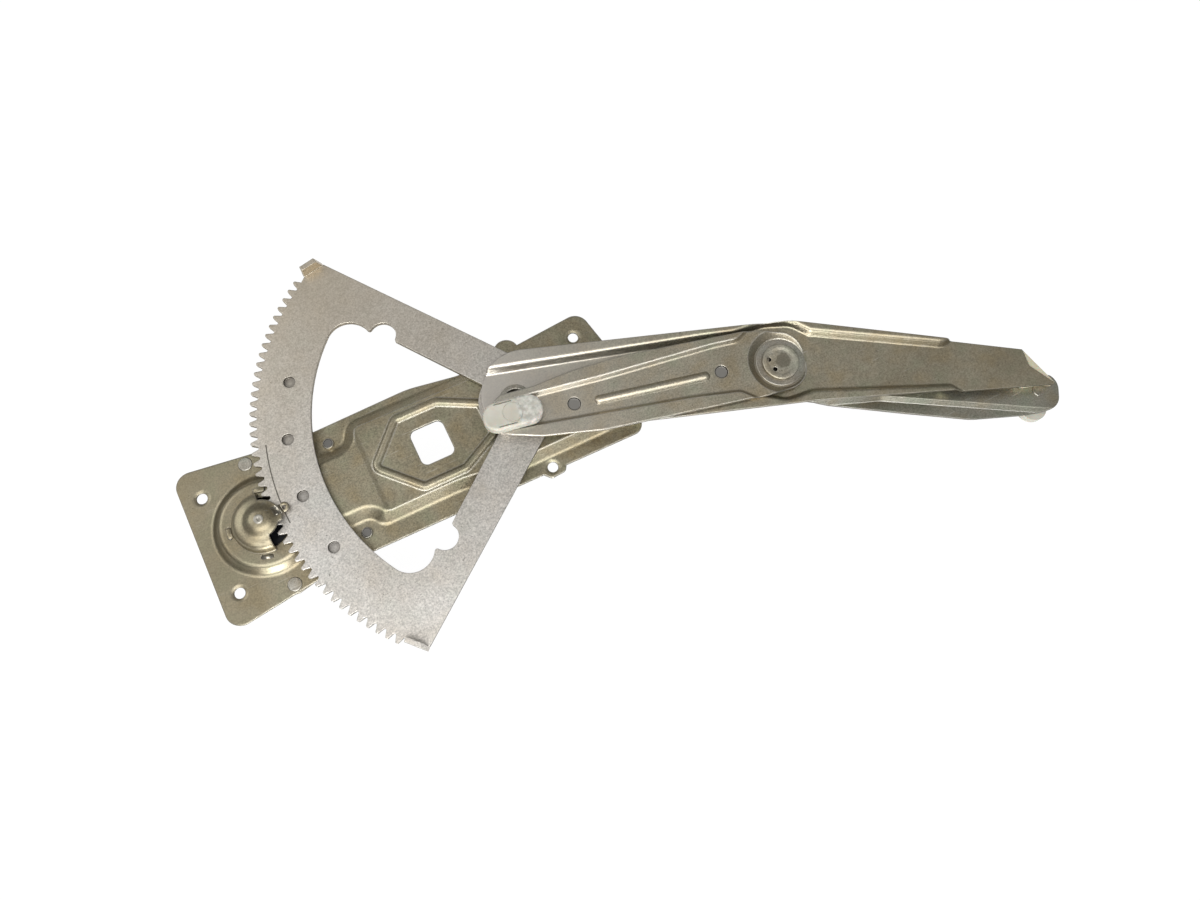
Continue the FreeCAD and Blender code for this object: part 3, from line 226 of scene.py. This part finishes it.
# A dark arc scratched in the sector: its radius, half its width, and the stretch of Y that it covers
ARC_RADIUS = 149.2
ARC_HALF_WIDTH = 0.36
ARC_LOW_Y = -12
ARC_HIGH_Y = 38
SCISSOR = (158.0, -47.8)
SCISSOR_DOTS = ((7.4, 146.0), (6.4, 208.0))
SCISSOR_DOT_R = 1.35


def distance_to(tree, coords, x_mm, y_mm):
    """Distance in plan from a point, in metres: the length of the vector with its height left out."""
    moved = add(tree, "ShaderNodeVectorMath", {0: coords, 1: (x_mm * MM, y_mm * MM, 0)}, operation="SUBTRACT")
    flat = add(tree, "ShaderNodeVectorMath", {0: moved.outputs[0], 1: (1, 1, 0)}, operation="MULTIPLY")
    return add(tree, "ShaderNodeVectorMath", {0: flat.outputs[0]}, operation="LENGTH").outputs["Value"]


def sector_marks(tree, coords, colour):
    """Painted shade in the sector's blind marks, stronger towards their rims, and the dark arc beside the cap's
    ear.
    """
    for angle in PIP_ANGLES:
        a = math.radians(angle)
        far = distance_to(tree, coords, PIP_CIRCLE * math.cos(a), PIP_CIRCLE * math.sin(a))
        inside = maths(tree, "LESS_THAN", far, (PIP_R + 0.05) * MM)
        # Painted shade in each blind mark, stronger towards its rim
        shade = add(tree, "ShaderNodeMapRange", {0: far, 1: 0.0, 2: PIP_R * MM, 3: 0.35, 4: 0.75}).outputs[0]
        colour = mix(tree, maths(tree, "MULTIPLY", inside, shade), colour, linear("6f6b66"))
    parts = add(tree, "ShaderNodeSeparateXYZ", {0: coords})
    flat = add(tree, "ShaderNodeCombineXYZ", {0: parts.outputs[0], 1: parts.outputs[1]})
    radius = add(tree, "ShaderNodeVectorMath", {0: flat.outputs[0]}, operation="LENGTH").outputs["Value"]
    off = maths(tree, "ABSOLUTE", maths(tree, "SUBTRACT", radius, ARC_RADIUS * MM))
    near = maths(tree, "LESS_THAN", off, ARC_HALF_WIDTH * MM)
    inside = maths(tree, "MULTIPLY", maths(tree, "GREATER_THAN", parts.outputs[1], ARC_LOW_Y * MM),
                   maths(tree, "LESS_THAN", parts.outputs[1], ARC_HIGH_Y * MM))
    left = maths(tree, "LESS_THAN", parts.outputs[0], 0.0)
    mask = maths(tree, "MULTIPLY", maths(tree, "MULTIPLY", near, inside), left)
    return mix(tree, maths(tree, "MULTIPLY", mask, 0.8), colour, linear("3c3831"))


def shade_and_highlight_spots(spots, hex_dark, share, hex_highlight=None):
    """Round spots at plan points given as (x, y, radius) in mm: a dark outline, a darker tone inside and an
    optional painted highlight on a ring round each.
    """
    def paint(tree, coords, colour):
        for x_mm, y_mm, radius in spots:
            far = distance_to(tree, coords, x_mm, y_mm)
            if hex_highlight:
                # Painted highlight on a ring round the spot
                highlight_ring = maths(tree, "LESS_THAN", far, (radius + 0.7) * MM)
                colour = mix(tree, maths(tree, "MULTIPLY", highlight_ring, 0.7), colour, linear(hex_highlight))
            # Dark outline round the spot: painted shade at the rim of a pressed mark or a rivet's head
            colour = mix(tree, maths(tree, "LESS_THAN", far, (radius + 0.15) * MM), colour, linear("3d3a34"))
            # Darker tone inside the spot: painted shade on the front arm's pressed marks
            inside = maths(tree, "LESS_THAN", far, (radius - 0.2) * MM)
            colour = mix(tree, maths(tree, "MULTIPLY", inside, share), colour, linear(hex_dark))
        return colour
    return paint


def rivet_head_marks(tree, coords, colour):
    """Two dark dots and a grimy patch on the head of the crossing rivet."""
    cloud = noise(tree, coords, 5.0, 3.0).outputs["Fac"]
    far = distance_to(tree, coords, SCISSOR[0] + 1.5, SCISSOR[1] + 0.5)
    reach = maths(tree, "MULTIPLY_ADD", cloud, 9.0 * MM, maths(tree, "MULTIPLY", far, -1.0))
    star = ramp(tree, maths(tree, "MULTIPLY", reach, 1000.0), [(0.0, (0, 0, 0, 1)), (0.9, (1, 1, 1, 1))])
    colour = mix(tree, maths(tree, "MULTIPLY", star, 0.6), colour, linear("665f50"))
    for radius, angle in SCISSOR_DOTS:
        a = math.radians(angle)
        dot = distance_to(tree, coords, SCISSOR[0] + radius * math.cos(a), SCISSOR[1] + radius * math.sin(a))
        colour = mix(tree, maths(tree, "LESS_THAN", dot, SCISSOR_DOT_R * MM), colour, linear("23211c"))
    return colour


def toned_end(hex_tone, full, gone, most, axis=0):
    """A tone over one end of a piece. Its share falls from most to nothing between two places on an axis."""
    def paint(tree, coords, colour):
        place = add(tree, "ShaderNodeSeparateXYZ", {0: coords}).outputs[axis]
        share = add(tree, "ShaderNodeMapRange", {
            0: place, 1: full * MM, 2: gone * MM, 3: most, 4: 0.0}).outputs[0]
        return mix(tree, share, colour, linear(hex_tone))
    return paint


def layers(*paints):
    """Several paints, one over the other."""
    def paint(tree, coords, colour):
        for layer in paints:
            colour = layer(tree, coords, colour)
        return colour
    return paint


# %% [markdown]
# The shoes are moulded nylon in its natural colour, a little waxy. A plain colour would look like paint,
# so some subsurface light softens it and very fine bumps widen the highlight.
# The front shoe is thin over the arm's end, and there the metal behind makes it look grey and streaked.

# %% Nylon
def nylon_material(name, hex_low, hex_high, thin_from=None):
    """Natural nylon. Past a plan point, in a direction, it is thin and the metal behind dulls it."""
    material, tree, output = new_material(name)
    coords = add(tree, "ShaderNodeTexCoord").outputs["Object"]
    cloud = noise(tree, coords, 9.0, 3.0).outputs["Fac"]
    colour = ramp(tree, cloud, [(0.3, linear(hex_low)), (0.7, linear(hex_high))])
    if thin_from:
        x_mm, y_mm, angle = thin_from
        a = math.radians(angle)
        moved = add(tree, "ShaderNodeVectorMath", {
            0: coords, 1: (x_mm * MM, y_mm * MM, 0)}, operation="SUBTRACT")
        along = add(tree, "ShaderNodeVectorMath", {
            0: moved.outputs[0], 1: (math.cos(a), math.sin(a), 0)}, operation="DOT_PRODUCT").outputs["Value"]
        share = add(tree, "ShaderNodeMapRange", {
            0: along, 1: 2.5 * MM, 2: 3.5 * MM, 3: 0.0, 4: 0.75}).outputs[0]
        streaks = noise(tree, coords, 2.2, 4.0).outputs["Fac"]
        thin = ramp(tree, streaks, [(0.35, linear("9c9a92")), (0.65, linear("c9c8c1"))])
        colour = mix(tree, share, colour, thin)
    fine = noise(tree, coords, 0.35, 2.0).outputs["Fac"]
    bump = add(tree, "ShaderNodeBump", {"Height": fine, "Strength": 0.1, "Distance": 0.0001})
    rough = maths(tree, "MULTIPLY_ADD", fine, 0.15, 0.38)
    shader = add(tree, "ShaderNodeBsdfPrincipled", {
        "Base Color": colour, "Roughness": rough, "Subsurface Weight": 0.15, "Subsurface Scale": 0.002,
        "Normal": bump.outputs["Normal"]})
    tree.links.new(shader.outputs["BSDF"], output.inputs["Surface"])
    return material


# %% [markdown]
# The parts of the clutch are dark and greasy. One cloud of noise drives both their tone and their roughness,
# because grease changes the two together.

# %% Dark steel and plastic
def dark_material(name, hex_low, hex_high, roughness, metallic, bright_above=None):
    """Greased dark metal or plastic. Above a height in mm it turns to bare steel."""
    material, tree, output = new_material(name)
    coords = add(tree, "ShaderNodeTexCoord").outputs["Object"]
    cloud = noise(tree, coords, 4.0, 4.0).outputs["Fac"]
    colour = ramp(tree, cloud, [(0.35, linear(hex_low)), (0.65, linear(hex_high))])
    if bright_above:
        z = add(tree, "ShaderNodeSeparateXYZ", {0: coords}).outputs[2]
        bare = ramp(tree, cloud, [(0.3, linear("8d897f")), (0.7, linear("bcb8ad"))])
        colour = mix(tree, maths(tree, "GREATER_THAN", z, bright_above * MM), colour, bare)
    rough = maths(tree, "MULTIPLY_ADD", cloud, 0.25, roughness - 0.12)
    shader = add(tree, "ShaderNodeBsdfPrincipled", {
        "Base Color": colour, "Roughness": rough, "Metallic": metallic})
    tree.links.new(shader.outputs["BSDF"], output.inputs["Surface"])
    return material


# %% [markdown]
# A piece takes the material of its slot in the record. A few pieces have marks or colours of their own, and the
# arms get painted light and shade along their length, so they get a material of their own instead of one more
# setting in a shared one.

# %% Materials of the pieces
palette = {
    "zinc_plate": plated("zinc_plate", "9f967d", "b3aa92", 0.36, speck=0.35, edge_bevel_mm=1.3,
                         extra=toned_end("7d7562", -200, -110, 0.6)),
    "zinc_arm": plated("zinc_arm", "b1a892", "c5bda8", 0.34, scuff=0.35),
    "sector_steel": plated("sector_steel", "cdc7be", "dbd7d1", 0.42, speck=0.12, scuff=0.2, tinted=0.25,
                           extra=layers(toned_end("c3b498", 140, -10, 0.55, 1), sector_marks)),
    "rivet_steel": plated("rivet_steel", "a39d90", "bdb8ac", 0.36, drift_mm=6.0),
    "dark_steel": dark_material("dark_steel", "16171a", "26282c", 0.4, 0.6, bright_above=16.2),
    "dark_plastic": dark_material("dark_plastic", "2b2a27", "3a3833", 0.5, 0.0),
    "nylon": nylon_material("nylon", "aba89a", "bbb9ae"),
}
FRONT_MARKS = [(120.52, -38.58, 3.9), (30.12, -18.81, 3.9)]
PIN_RIVET_MARKS = [(-112.0, 26.1, 2.6), (-112.0, -34.0, 2.6)]
aged_nylon = nylon_material("aged_nylon", "d8d0b2", "e4dec6")
special = {
    "front_shoe": nylon_material("nylon_front", "b1ada0", "bfbcb0", (-6.3, -10.6, -9.5)),
    # The front arm: painted light, lighter towards its left end, and painted shade in its two pressed marks
    "aux_arm_front": plated(
        "zinc_front_arm", "b2a994", "c5bda9", 0.34, scuff=0.35, edge_bevel_mm=1.2,
        extra=layers(toned_end("d6d1ca", -20, 90, 0.4), shade_and_highlight_spots(FRONT_MARKS, "a19e98", 0.85))),
    "aux_arm_rear": plated("zinc_rear_arm", "9a9789", "aeaa9c", 0.36, scuff=0.35),
    # The main arm: painted light, lighter towards its left end, and painted shade, darker towards its right end
    "main_arm": plated(
        "zinc_main_arm", "aea58f", "c2baa5", 0.34, scuff=0.35,
        extra=layers(toned_end("dad5ce", -20, 110, 0.75), toned_end("857b63", 320, 150, 0.45))),
    # The pin rivets: a painted highlight on a ring round each head, a dark outline of painted shade, and a
    # darker tone on the head
    "pin_rivets": plated(
        "pin_rivet_steel", "8f8d86", "a5a39c", 0.36, drift_mm=6.0,
        extra=shade_and_highlight_spots(PIN_RIVET_MARKS, "85837f", 0.8, "d8d5cb")),
    "scissor_rivet": plated(
        "scissor_rivet_steel", "b3ad9c", "c9c3b2", 0.4, drift_mm=6.0, extra=rivet_head_marks),
}
slots = {entry["node"]: entry["material_slot"] for entry in frame["record"]["subparts"]}
for name, obj in frame["nodes"].items():
    obj.data.materials.clear()
    obj.data.materials.append(special.get(name) or palette[slots[name]])
print("materials", sorted(palette))

# %% [markdown]
# Three pieces are made here, softer or nearer to the photograph than the solids. Each could be sculpted, but a
# surface worked out from its sizes changes with one number. It has points in millimetres and rides on a body.

# %% New pieces
def new_piece(name, points_mm, faces, material, body):
    """Smoothly shaded object from points in mm and faces, with its material, body and slot."""
    data = bpy.data.meshes.new(name)
    data.from_pydata((np.array(points_mm) * MM).tolist(), [], [[int(i) for i in face] for face in faces])
    data.validate()
    data.materials.append(material)
    piece = bpy.data.objects.new(name, data)
    bpy.context.scene.collection.objects.link(piece)
    data.shade_smooth()
    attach(piece, body)
    return piece


def placed(u, v, z, origin, angle_deg=0.0):
    """Points at origin + u (cos a, sin a) + v (-sin a, cos a) in plan, and at the heights z."""
    a = math.radians(angle_deg)
    x = origin[0] + u * math.cos(a) - v * math.sin(a)
    y = origin[1] + u * math.sin(a) + v * math.cos(a)
    return np.stack(np.broadcast_arrays(x, y, z), axis=-1).reshape(-1, 3)


def ring_faces(levels, count):
    """Faces with four corners between closed rings of points that lie one over the other."""
    start = np.arange(levels - 1)[:, None] * count
    low = (start + np.arange(count)).ravel()
    nxt = (start + (np.arange(count) + 1) % count).ravel()
    return np.stack([low, nxt, nxt + count, low + count], axis=-1).tolist()


# %% [markdown]
# The photograph shows only a straight pale strip of the lift arm's shoe, past the arm's end.
# The outer side here follows that strip. The slanted lower end is a guess, fitted to the camera's view:
# no shoe shows in the gap between the arms. One outline carried up through rings gives it a softened rim,
# where a box with a Bevel modifier would need its slanted end cut first.

# %% Shoe of the lift arm
HALF_SHOE_PIN = (301.4, -119.5)
HALF_SHOE_ANGLE = -75.6
# Outline in mm from the pin, first along the shoe and then across it
HALF_SHOE_OUTLINE = (
    (-12.3, 8.3), (15.6, 8.3), (16.0, 7.6), (12.2, 3.0), (9.4, -1.2), (5.0, -8.3), (4.4, -8.8),
    (-11.2, -8.8), (-12.5, -7.6), (-12.9, 0.0), (-12.9, 7.6))
# Inset and level of each ring
HALF_SHOE_RINGS = ((0.6, 3.45), (0.0, 4.2), (0.0, 9.6), (0.4, 10.1))


def half_shoe_skin():
    """Points and faces of the closed half shoe, as rings of its outline.

    A ring's points lie at M + (1 - inset / d) (P - M), with M the outline's mean point and d = |P - M|.
    """
    outline = np.array(HALF_SHOE_OUTLINE)
    insets, levels = np.array(HALF_SHOE_RINGS).T[:, :, None]
    middle = outline.mean(axis=0)
    far = np.hypot(*(outline - middle).T)
    share = 1 - insets / far
    u = middle[0] + (outline[:, 0] - middle[0]) * share
    v = middle[1] + (outline[:, 1] - middle[1]) * share
    points = placed(u, v, levels, HALF_SHOE_PIN, HALF_SHOE_ANGLE)
    count = len(outline)
    faces = ring_faces(len(HALF_SHOE_RINGS), count)
    top = len(points) - count
    faces += [list(range(count - 1, -1, -1)), list(range(top, top + count))]
    return points, faces


half_points, half_faces = half_shoe_skin()
half_shoe = new_piece("main_shoe_skin", half_points, half_faces, aged_nylon, "main_slider")
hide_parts("main_shoe")
print("shoe faces", len(half_faces))

# %% [markdown]
# The cap over the pinion is a drawn stamping: a low shoulder and a round dome in its middle.
# Rings of edges drawn by hand could follow it, but its section is the same all round, so here the height
# over the plate is a function of the distance from the axis.
# Its edge stops short of the sector and at the mouth where the claw shows, as the solid's edge does.

# %% Cap over the pinion
CLUTCH = (-162.944, -4.267)
CAP_BASE = 6.5
CAP_RADII = [0.0, 2.5, 4.8, 6.0, 7.0, 8.0, 9.0, 10.0, 11.2, 13.0, 14.6, 15.8, 16.7, 17.3, 17.8, 18.2]
CAP_HEIGHTS = [11.4, 11.3, 11.0, 10.6, 10.1, 9.5, 8.9, 8.4, 8.1, 7.8, 7.3, 6.6, 5.5, 4.2, 2.2, 0.0]
CAP_WALL = 1.2
SECTOR_CLEAR_R = 160.5
ROOF_R = 12.3
# The claw's mouth is where x > MOUTH_X and y < MOUTH_SLOPE x - MOUTH_Y, outside MOUTH_INNER_R
MOUTH_X = 1.5
MOUTH_Y = 6.2
MOUTH_SLOPE = 0.1333
MOUTH_INNER_R = 10.1
EAR_ANGLE = 8.0
EAR_CIRCLE = 14.9
LUG_R = 3.1
LUG_HOLE_R = 0.9
LUG_LEVELS = (5.5, 6.9)
STRAP_WIDTH = 5.2
STRAP_PROFILE = [(8.4, 9.0), (13.4, 6.9), (13.4, 5.7), (8.4, 7.6)]
TAB_CIRCLE = 20.0
TAB_REACH = 2.9
TAB_WIDTH = 6.5
TAB_BEVEL = 0.3
# Height of each tab, by its angle
TAB_HEIGHTS = {173.0: 1.3, 77.0: 1.3, 255.0: 0.35}


def cap_reach(angle):
    """Radius at which the cap ends along one ray: its foot, the sector's circle or the claw's mouth.

    The ray from the clutch's axis meets the circle x^2 + y^2 = R^2 at r = -b - sqrt(b^2 - c),
    with b = C.u and c = |C|^2 - R^2.
    """
    ux, uy = math.cos(angle), math.sin(angle)
    reach = CAP_RADII[-1]
    b = CLUTCH[0] * ux + CLUTCH[1] * uy
    c = CLUTCH[0] ** 2 + CLUTCH[1] ** 2 - SECTOR_CLEAR_R ** 2
    if b < 0 and b * b > c:
        reach = min(reach, max(-b - math.sqrt(b * b - c), ROOF_R))
    if ux > 0.05 and uy < -0.25:
        mouth = max(MOUTH_X / ux, MOUTH_Y / (MOUTH_SLOPE * ux - uy))
        reach = min(reach, max(mouth, MOUTH_INNER_R))
    return reach


def cap_skin():
    """Points and faces of the cap: outer and inner surfaces on rays from the axis, joined at the edge."""
    rays = 240
    rings = 44
    angle = 2 * np.pi * np.arange(rays)[:, None] / rays
    reach = np.array([[cap_reach(value)] for value in angle[:, 0]])
    r = np.maximum(np.linspace(0.0, 1.0, rings) * reach, 0.02)
    outer = np.interp(r, CAP_RADII, CAP_HEIGHTS)
    inner = np.maximum(np.interp(r + 0.5, CAP_RADII, CAP_HEIGHTS) - CAP_WALL, 0.02)
    x, y = r * np.cos(angle), r * np.sin(angle)
    points = np.concatenate([placed(x, y, CAP_BASE + z, CLUTCH) for z in (outer, inner)])
    half = rays * rings
    i = np.arange(rings - 1)
    near = np.arange(rays)[:, None] * rings
    far = np.roll(near, -1)
    outside = np.stack([near + i, near + i + 1, far + i + 1, far + i], axis=-1)
    inside = half + np.stack([near + i, far + i, far + i + 1, near + i + 1], axis=-1)
    walls = np.stack([outside, inside], axis=2).reshape(rays, -1, 4)
    near_end, far_end = near + rings - 1, far + rings - 1
    edge = np.stack([near_end, half + near_end, half + far_end, far_end], axis=-1)
    pole = np.stack([near, far, half + far, half + near], axis=-1)
    faces = np.concatenate([walls, edge, pole], axis=1).reshape(-1, 4)
    return points, faces


def rounded_box(centre, size, angle_deg, bevel):
    """Points and faces of a box with a rounded top edge, turned in plan, that stands on its centre point."""
    inset = np.array([0.0, 0.0, bevel * 0.4, bevel])[:, None]
    z = np.array([0.0, size[2] - bevel, size[2] - bevel * 0.35, size[2]])[:, None]
    corner_x, corner_y = np.array([-1, 1, 1, -1]), np.array([-1, -1, 1, 1])
    points = placed(corner_x * (size[0] / 2 - inset), corner_y * (size[1] / 2 - inset), centre[2] + z,
                    centre, angle_deg)
    faces = [(0, 3, 2, 1), (12, 13, 14, 15)] + ring_faces(4, 4)
    return points, faces


def lug_ring(centre, outer_r, hole_r, low, high):
    """Points and faces of a rounded eyelet: the ellipse (p cos b, q sin b) turned round its middle radius."""
    rounds, steps = 32, 12
    middle, half_wide, half_high = (outer_r + hole_r) / 2, (outer_r - hole_r) / 2, (high - low) / 2
    a = 2 * np.pi * np.arange(rounds)[:, None] / rounds
    b = 2 * np.pi * np.arange(steps) / steps
    r = middle + half_wide * np.cos(b)
    points = placed(r * np.cos(a), r * np.sin(a), (low + high) / 2 + half_high * np.sin(b), centre)
    k, j = np.arange(rounds)[:, None] * steps, np.arange(steps)
    nxt_k, nxt_j = np.roll(k, -1), np.roll(j, -1)
    faces = np.stack([k + j, nxt_k + j, nxt_k + nxt_j, k + nxt_j], axis=-1).reshape(-1, 4)
    return points, faces


def strut(angle_deg, width, profile):
    """Points and faces of a flat strap along one ray from the clutch's axis, from (r, z) pairs."""
    r, z = np.array(profile).T
    side = np.array([-width / 2, width / 2])[:, None]
    points = placed(r, side, CAP_BASE + z, CLUTCH, angle_deg)
    n = len(profile)
    i = np.arange(n)
    nxt = np.roll(i, -1)
    faces = [tuple(range(n)), tuple(range(2 * n - 1, n - 1, -1))]
    faces += np.stack([i, i + n, nxt + n, nxt], axis=-1).tolist()
    return points, faces


def joined(*parts):
    """Several (points, faces) pairs as one, with each face's numbers moved past the points before it."""
    points, faces = [], []
    start = 0
    for part_points, part_faces in parts:
        points.append(part_points)
        faces.extend([start + i for i in face] for face in part_faces)
        start += len(part_points)
    return np.concatenate(points), faces


ear_a = math.radians(EAR_ANGLE)
EAR_AT = (CLUTCH[0] + EAR_CIRCLE * math.cos(ear_a), CLUTCH[1] + EAR_CIRCLE * math.sin(ear_a))
tabs = []
for tab_angle, tab_height in TAB_HEIGHTS.items():
    a = math.radians(tab_angle)
    spot = (CLUTCH[0] + TAB_CIRCLE * math.cos(a), CLUTCH[1] + TAB_CIRCLE * math.sin(a), CAP_BASE - 0.1)
    tabs.append(rounded_box(spot, (TAB_REACH, TAB_WIDTH, tab_height), tab_angle, TAB_BEVEL))
cap_points, cap_faces = joined(
    cap_skin(), *tabs,
    lug_ring(EAR_AT, LUG_R, LUG_HOLE_R, CAP_BASE + LUG_LEVELS[0], CAP_BASE + LUG_LEVELS[1]),
    strut(EAR_ANGLE, STRAP_WIDTH, STRAP_PROFILE))
cap = new_piece("cap_skin", cap_points, cap_faces, palette["zinc_plate"], "frame")
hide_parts("pinion_cap")
print("cap faces", len(cap_faces))

# %% [markdown]
# The front arm has a pressed stiffening bead. The solid has flat flanks, and a Bevel modifier there would round
# the arm's other edges too, so a rounded surface is laid over the bead alone.
# Its height over the web is h (1 - (v/w)^2) across, and its ends close as half a circle.

# %% Bead of the front arm
BEAD_ENDS = ((110.2, -36.97), (44.67, -22.9))
BEAD_LEVEL = 18.68
BEAD_HALF_WIDTH = 3.0
BEAD_HEIGHT = 1.7


def bead_skin(start, end, level, half_width, height):
    """Points and faces of a round topped bead between two plan points."""
    ax, ay = end[0] - start[0], end[1] - start[1]
    length = math.hypot(ax, ay)
    across, along = 24, 90
    u = -half_width + (length + 2 * half_width) * np.arange(along + 1)[:, None] / along
    beyond = np.maximum(np.maximum(-u, u - length), 0.0) / half_width
    wide = half_width * np.sqrt(np.maximum(1.0 - beyond ** 2, 0.0004))
    v = -wide + 2 * wide * np.arange(across + 1) / across
    z = height * (1 - (v / half_width) ** 2 - beyond ** 2)
    points = placed(u, v, level + z, start, math.degrees(math.atan2(ay, ax)))
    k = (np.arange(along)[:, None] * (across + 1) + np.arange(across)).ravel()
    faces = np.stack([k, k + across + 1, k + across + 2, k + 1], axis=-1)
    return points, faces


bead_points, bead_faces = bead_skin(*BEAD_ENDS, BEAD_LEVEL, BEAD_HALF_WIDTH, BEAD_HEIGHT)
new_piece("front_bead", bead_points, bead_faces, special["aux_arm_front"], "crossing_arm")
print("bead faces", len(bead_faces))

# %% [markdown]
# The photograph has a plain white ground. A floor bright enough for that would also light the part from below,
# so only camera rays see it nearly white, and it keeps a soft shadow. It lies under the lowest point.
# The key light hangs 29 degrees from the zenith on the camera's side.
# A small light from the far left and a low one on the camera's side reach the steeper slopes.

# %% Floor, light and world
FLOOR_Z = cad_bounds[0][2] - 0.0005
FLOOR_HALF = 6.0
FLOOR_GLOW = 1.04
FLOOR_GLOW_SHARE = 0.93
corners = [(x * FLOOR_HALF, y * FLOOR_HALF, FLOOR_Z) for x, y in ((-1, -1), (1, -1), (1, 1), (-1, 1))]
mesh = bpy.data.meshes.new("floor")
mesh.from_pydata(corners, [], [(0, 1, 2, 3)])
floor = bpy.data.objects.new("floor", mesh)
bpy.context.scene.collection.objects.link(floor)
material, tree, output = new_material("floor_white")
diffuse = add(tree, "ShaderNodeBsdfDiffuse", {"Color": (0.9, 0.9, 0.9, 1)})
glow = add(tree, "ShaderNodeEmission", {"Color": (1, 1, 1, 1), "Strength": FLOOR_GLOW})
rays = add(tree, "ShaderNodeLightPath")
share = maths(tree, "MULTIPLY", rays.outputs["Is Camera Ray"], FLOOR_GLOW_SHARE)
blend = add(tree, "ShaderNodeMixShader", {0: share, 1: diffuse.outputs[0], 2: glow.outputs[0]})
tree.links.new(blend.outputs[0], output.inputs["Surface"])
mesh.materials.append(material)

# Directions of the photograph's right and up edges, in the row frame
VIEW_RIGHT = Vector((0.8949, -0.4423, 0.0594))
VIEW_UP = Vector((0.4122, 0.8703, 0.2697))
CAMERA_AT = Vector((-66.2, -174.9, 566.6)) * MM
TOWARDS_VIEWER = Vector((-VIEW_UP.x, -VIEW_UP.y, 0)).normalized()
FAR_LEFT = Vector((-0.8, 0.6, 0)).normalized()
LAMP_DISTANCE = 1.3
LAMP_AIM = Vector((30.0, 0.0, 0.0)) * MM


def area_lamp(name, tilt_deg, size, power, side=TOWARDS_VIEWER, height=None):
    """Flat lamp at a tilt from the zenith towards one side, aimed near the middle of the object."""
    t = math.radians(tilt_deg)
    direction = side * math.sin(t) + Vector((0, 0, 1)) * math.cos(t)
    data = bpy.data.lights.new(name, "AREA")
    data.shape = "RECTANGLE"
    data.size = size
    data.size_y = height or size
    data.energy = power
    lamp = bpy.data.objects.new(name, data)
    lamp.location = LAMP_AIM + direction * LAMP_DISTANCE
    lamp.rotation_euler = (-direction).to_track_quat("-Z", "Y").to_euler()
    bpy.context.scene.collection.objects.link(lamp)


area_lamp("key", 29.0, 1.4, 14.8, height=0.85)
area_lamp("side", 48.0, 0.6, 3.0, FAR_LEFT)
area_lamp("low", 80.0, 0.7, 11.0, height=0.4)

# Grey of the sky at each share of the way up
SKY_GREYS = ((0.0, 0.13), (0.5, 0.24), (0.8, 0.46), (1.0, 0.5))
world = bpy.data.worlds.new("studio")
bpy.context.scene.world = world
world.use_nodes = True
tree = world.node_tree
tree.nodes.clear()
direction = add(tree, "ShaderNodeTexCoord").outputs["Generated"]
up = add(tree, "ShaderNodeSeparateXYZ", {0: direction}).outputs[2]
sky = ramp(tree, up, [(place, (grey, grey, grey, 1)) for place, grey in SKY_GREYS])
seen = add(tree, "ShaderNodeLightPath").outputs["Is Camera Ray"]
sky = mix(tree, seen, sky, (1, 1, 1, 1))
background = add(tree, "ShaderNodeBackground", {"Color": sky, "Strength": 1.0})
add(tree, "ShaderNodeOutputWorld", {"Surface": background.outputs[0]})

# %% [markdown]
# The camera stands where the photograph was taken from. It was fitted to the sector's teeth, whose places on
# their circle are known, on a picture 1200 pixels wide.

# %% Camera
FOCAL_PIXELS = 962
PICTURE_WIDTH = 1200
SENSOR_MM = 36.0
forward = VIEW_UP.cross(VIEW_RIGHT).normalized()
up_axis = VIEW_RIGHT.cross(forward).normalized()
camera_data = bpy.data.cameras.new("camera")
camera_data.sensor_width = SENSOR_MM
camera_data.lens = FOCAL_PIXELS / PICTURE_WIDTH * SENSOR_MM
camera_data.clip_start = 0.01
camera = bpy.data.objects.new("camera", camera_data)
rotation = Matrix((VIEW_RIGHT.normalized(), up_axis, -forward)).transposed()
camera.matrix_world = Matrix.Translation(CAMERA_AT) @ rotation.to_4x4()
bpy.context.scene.collection.objects.link(camera)
bpy.context.scene.camera = camera
bpy.context.scene.view_settings.view_transform = "Standard"
print("camera", camera.matrix_world.translation)
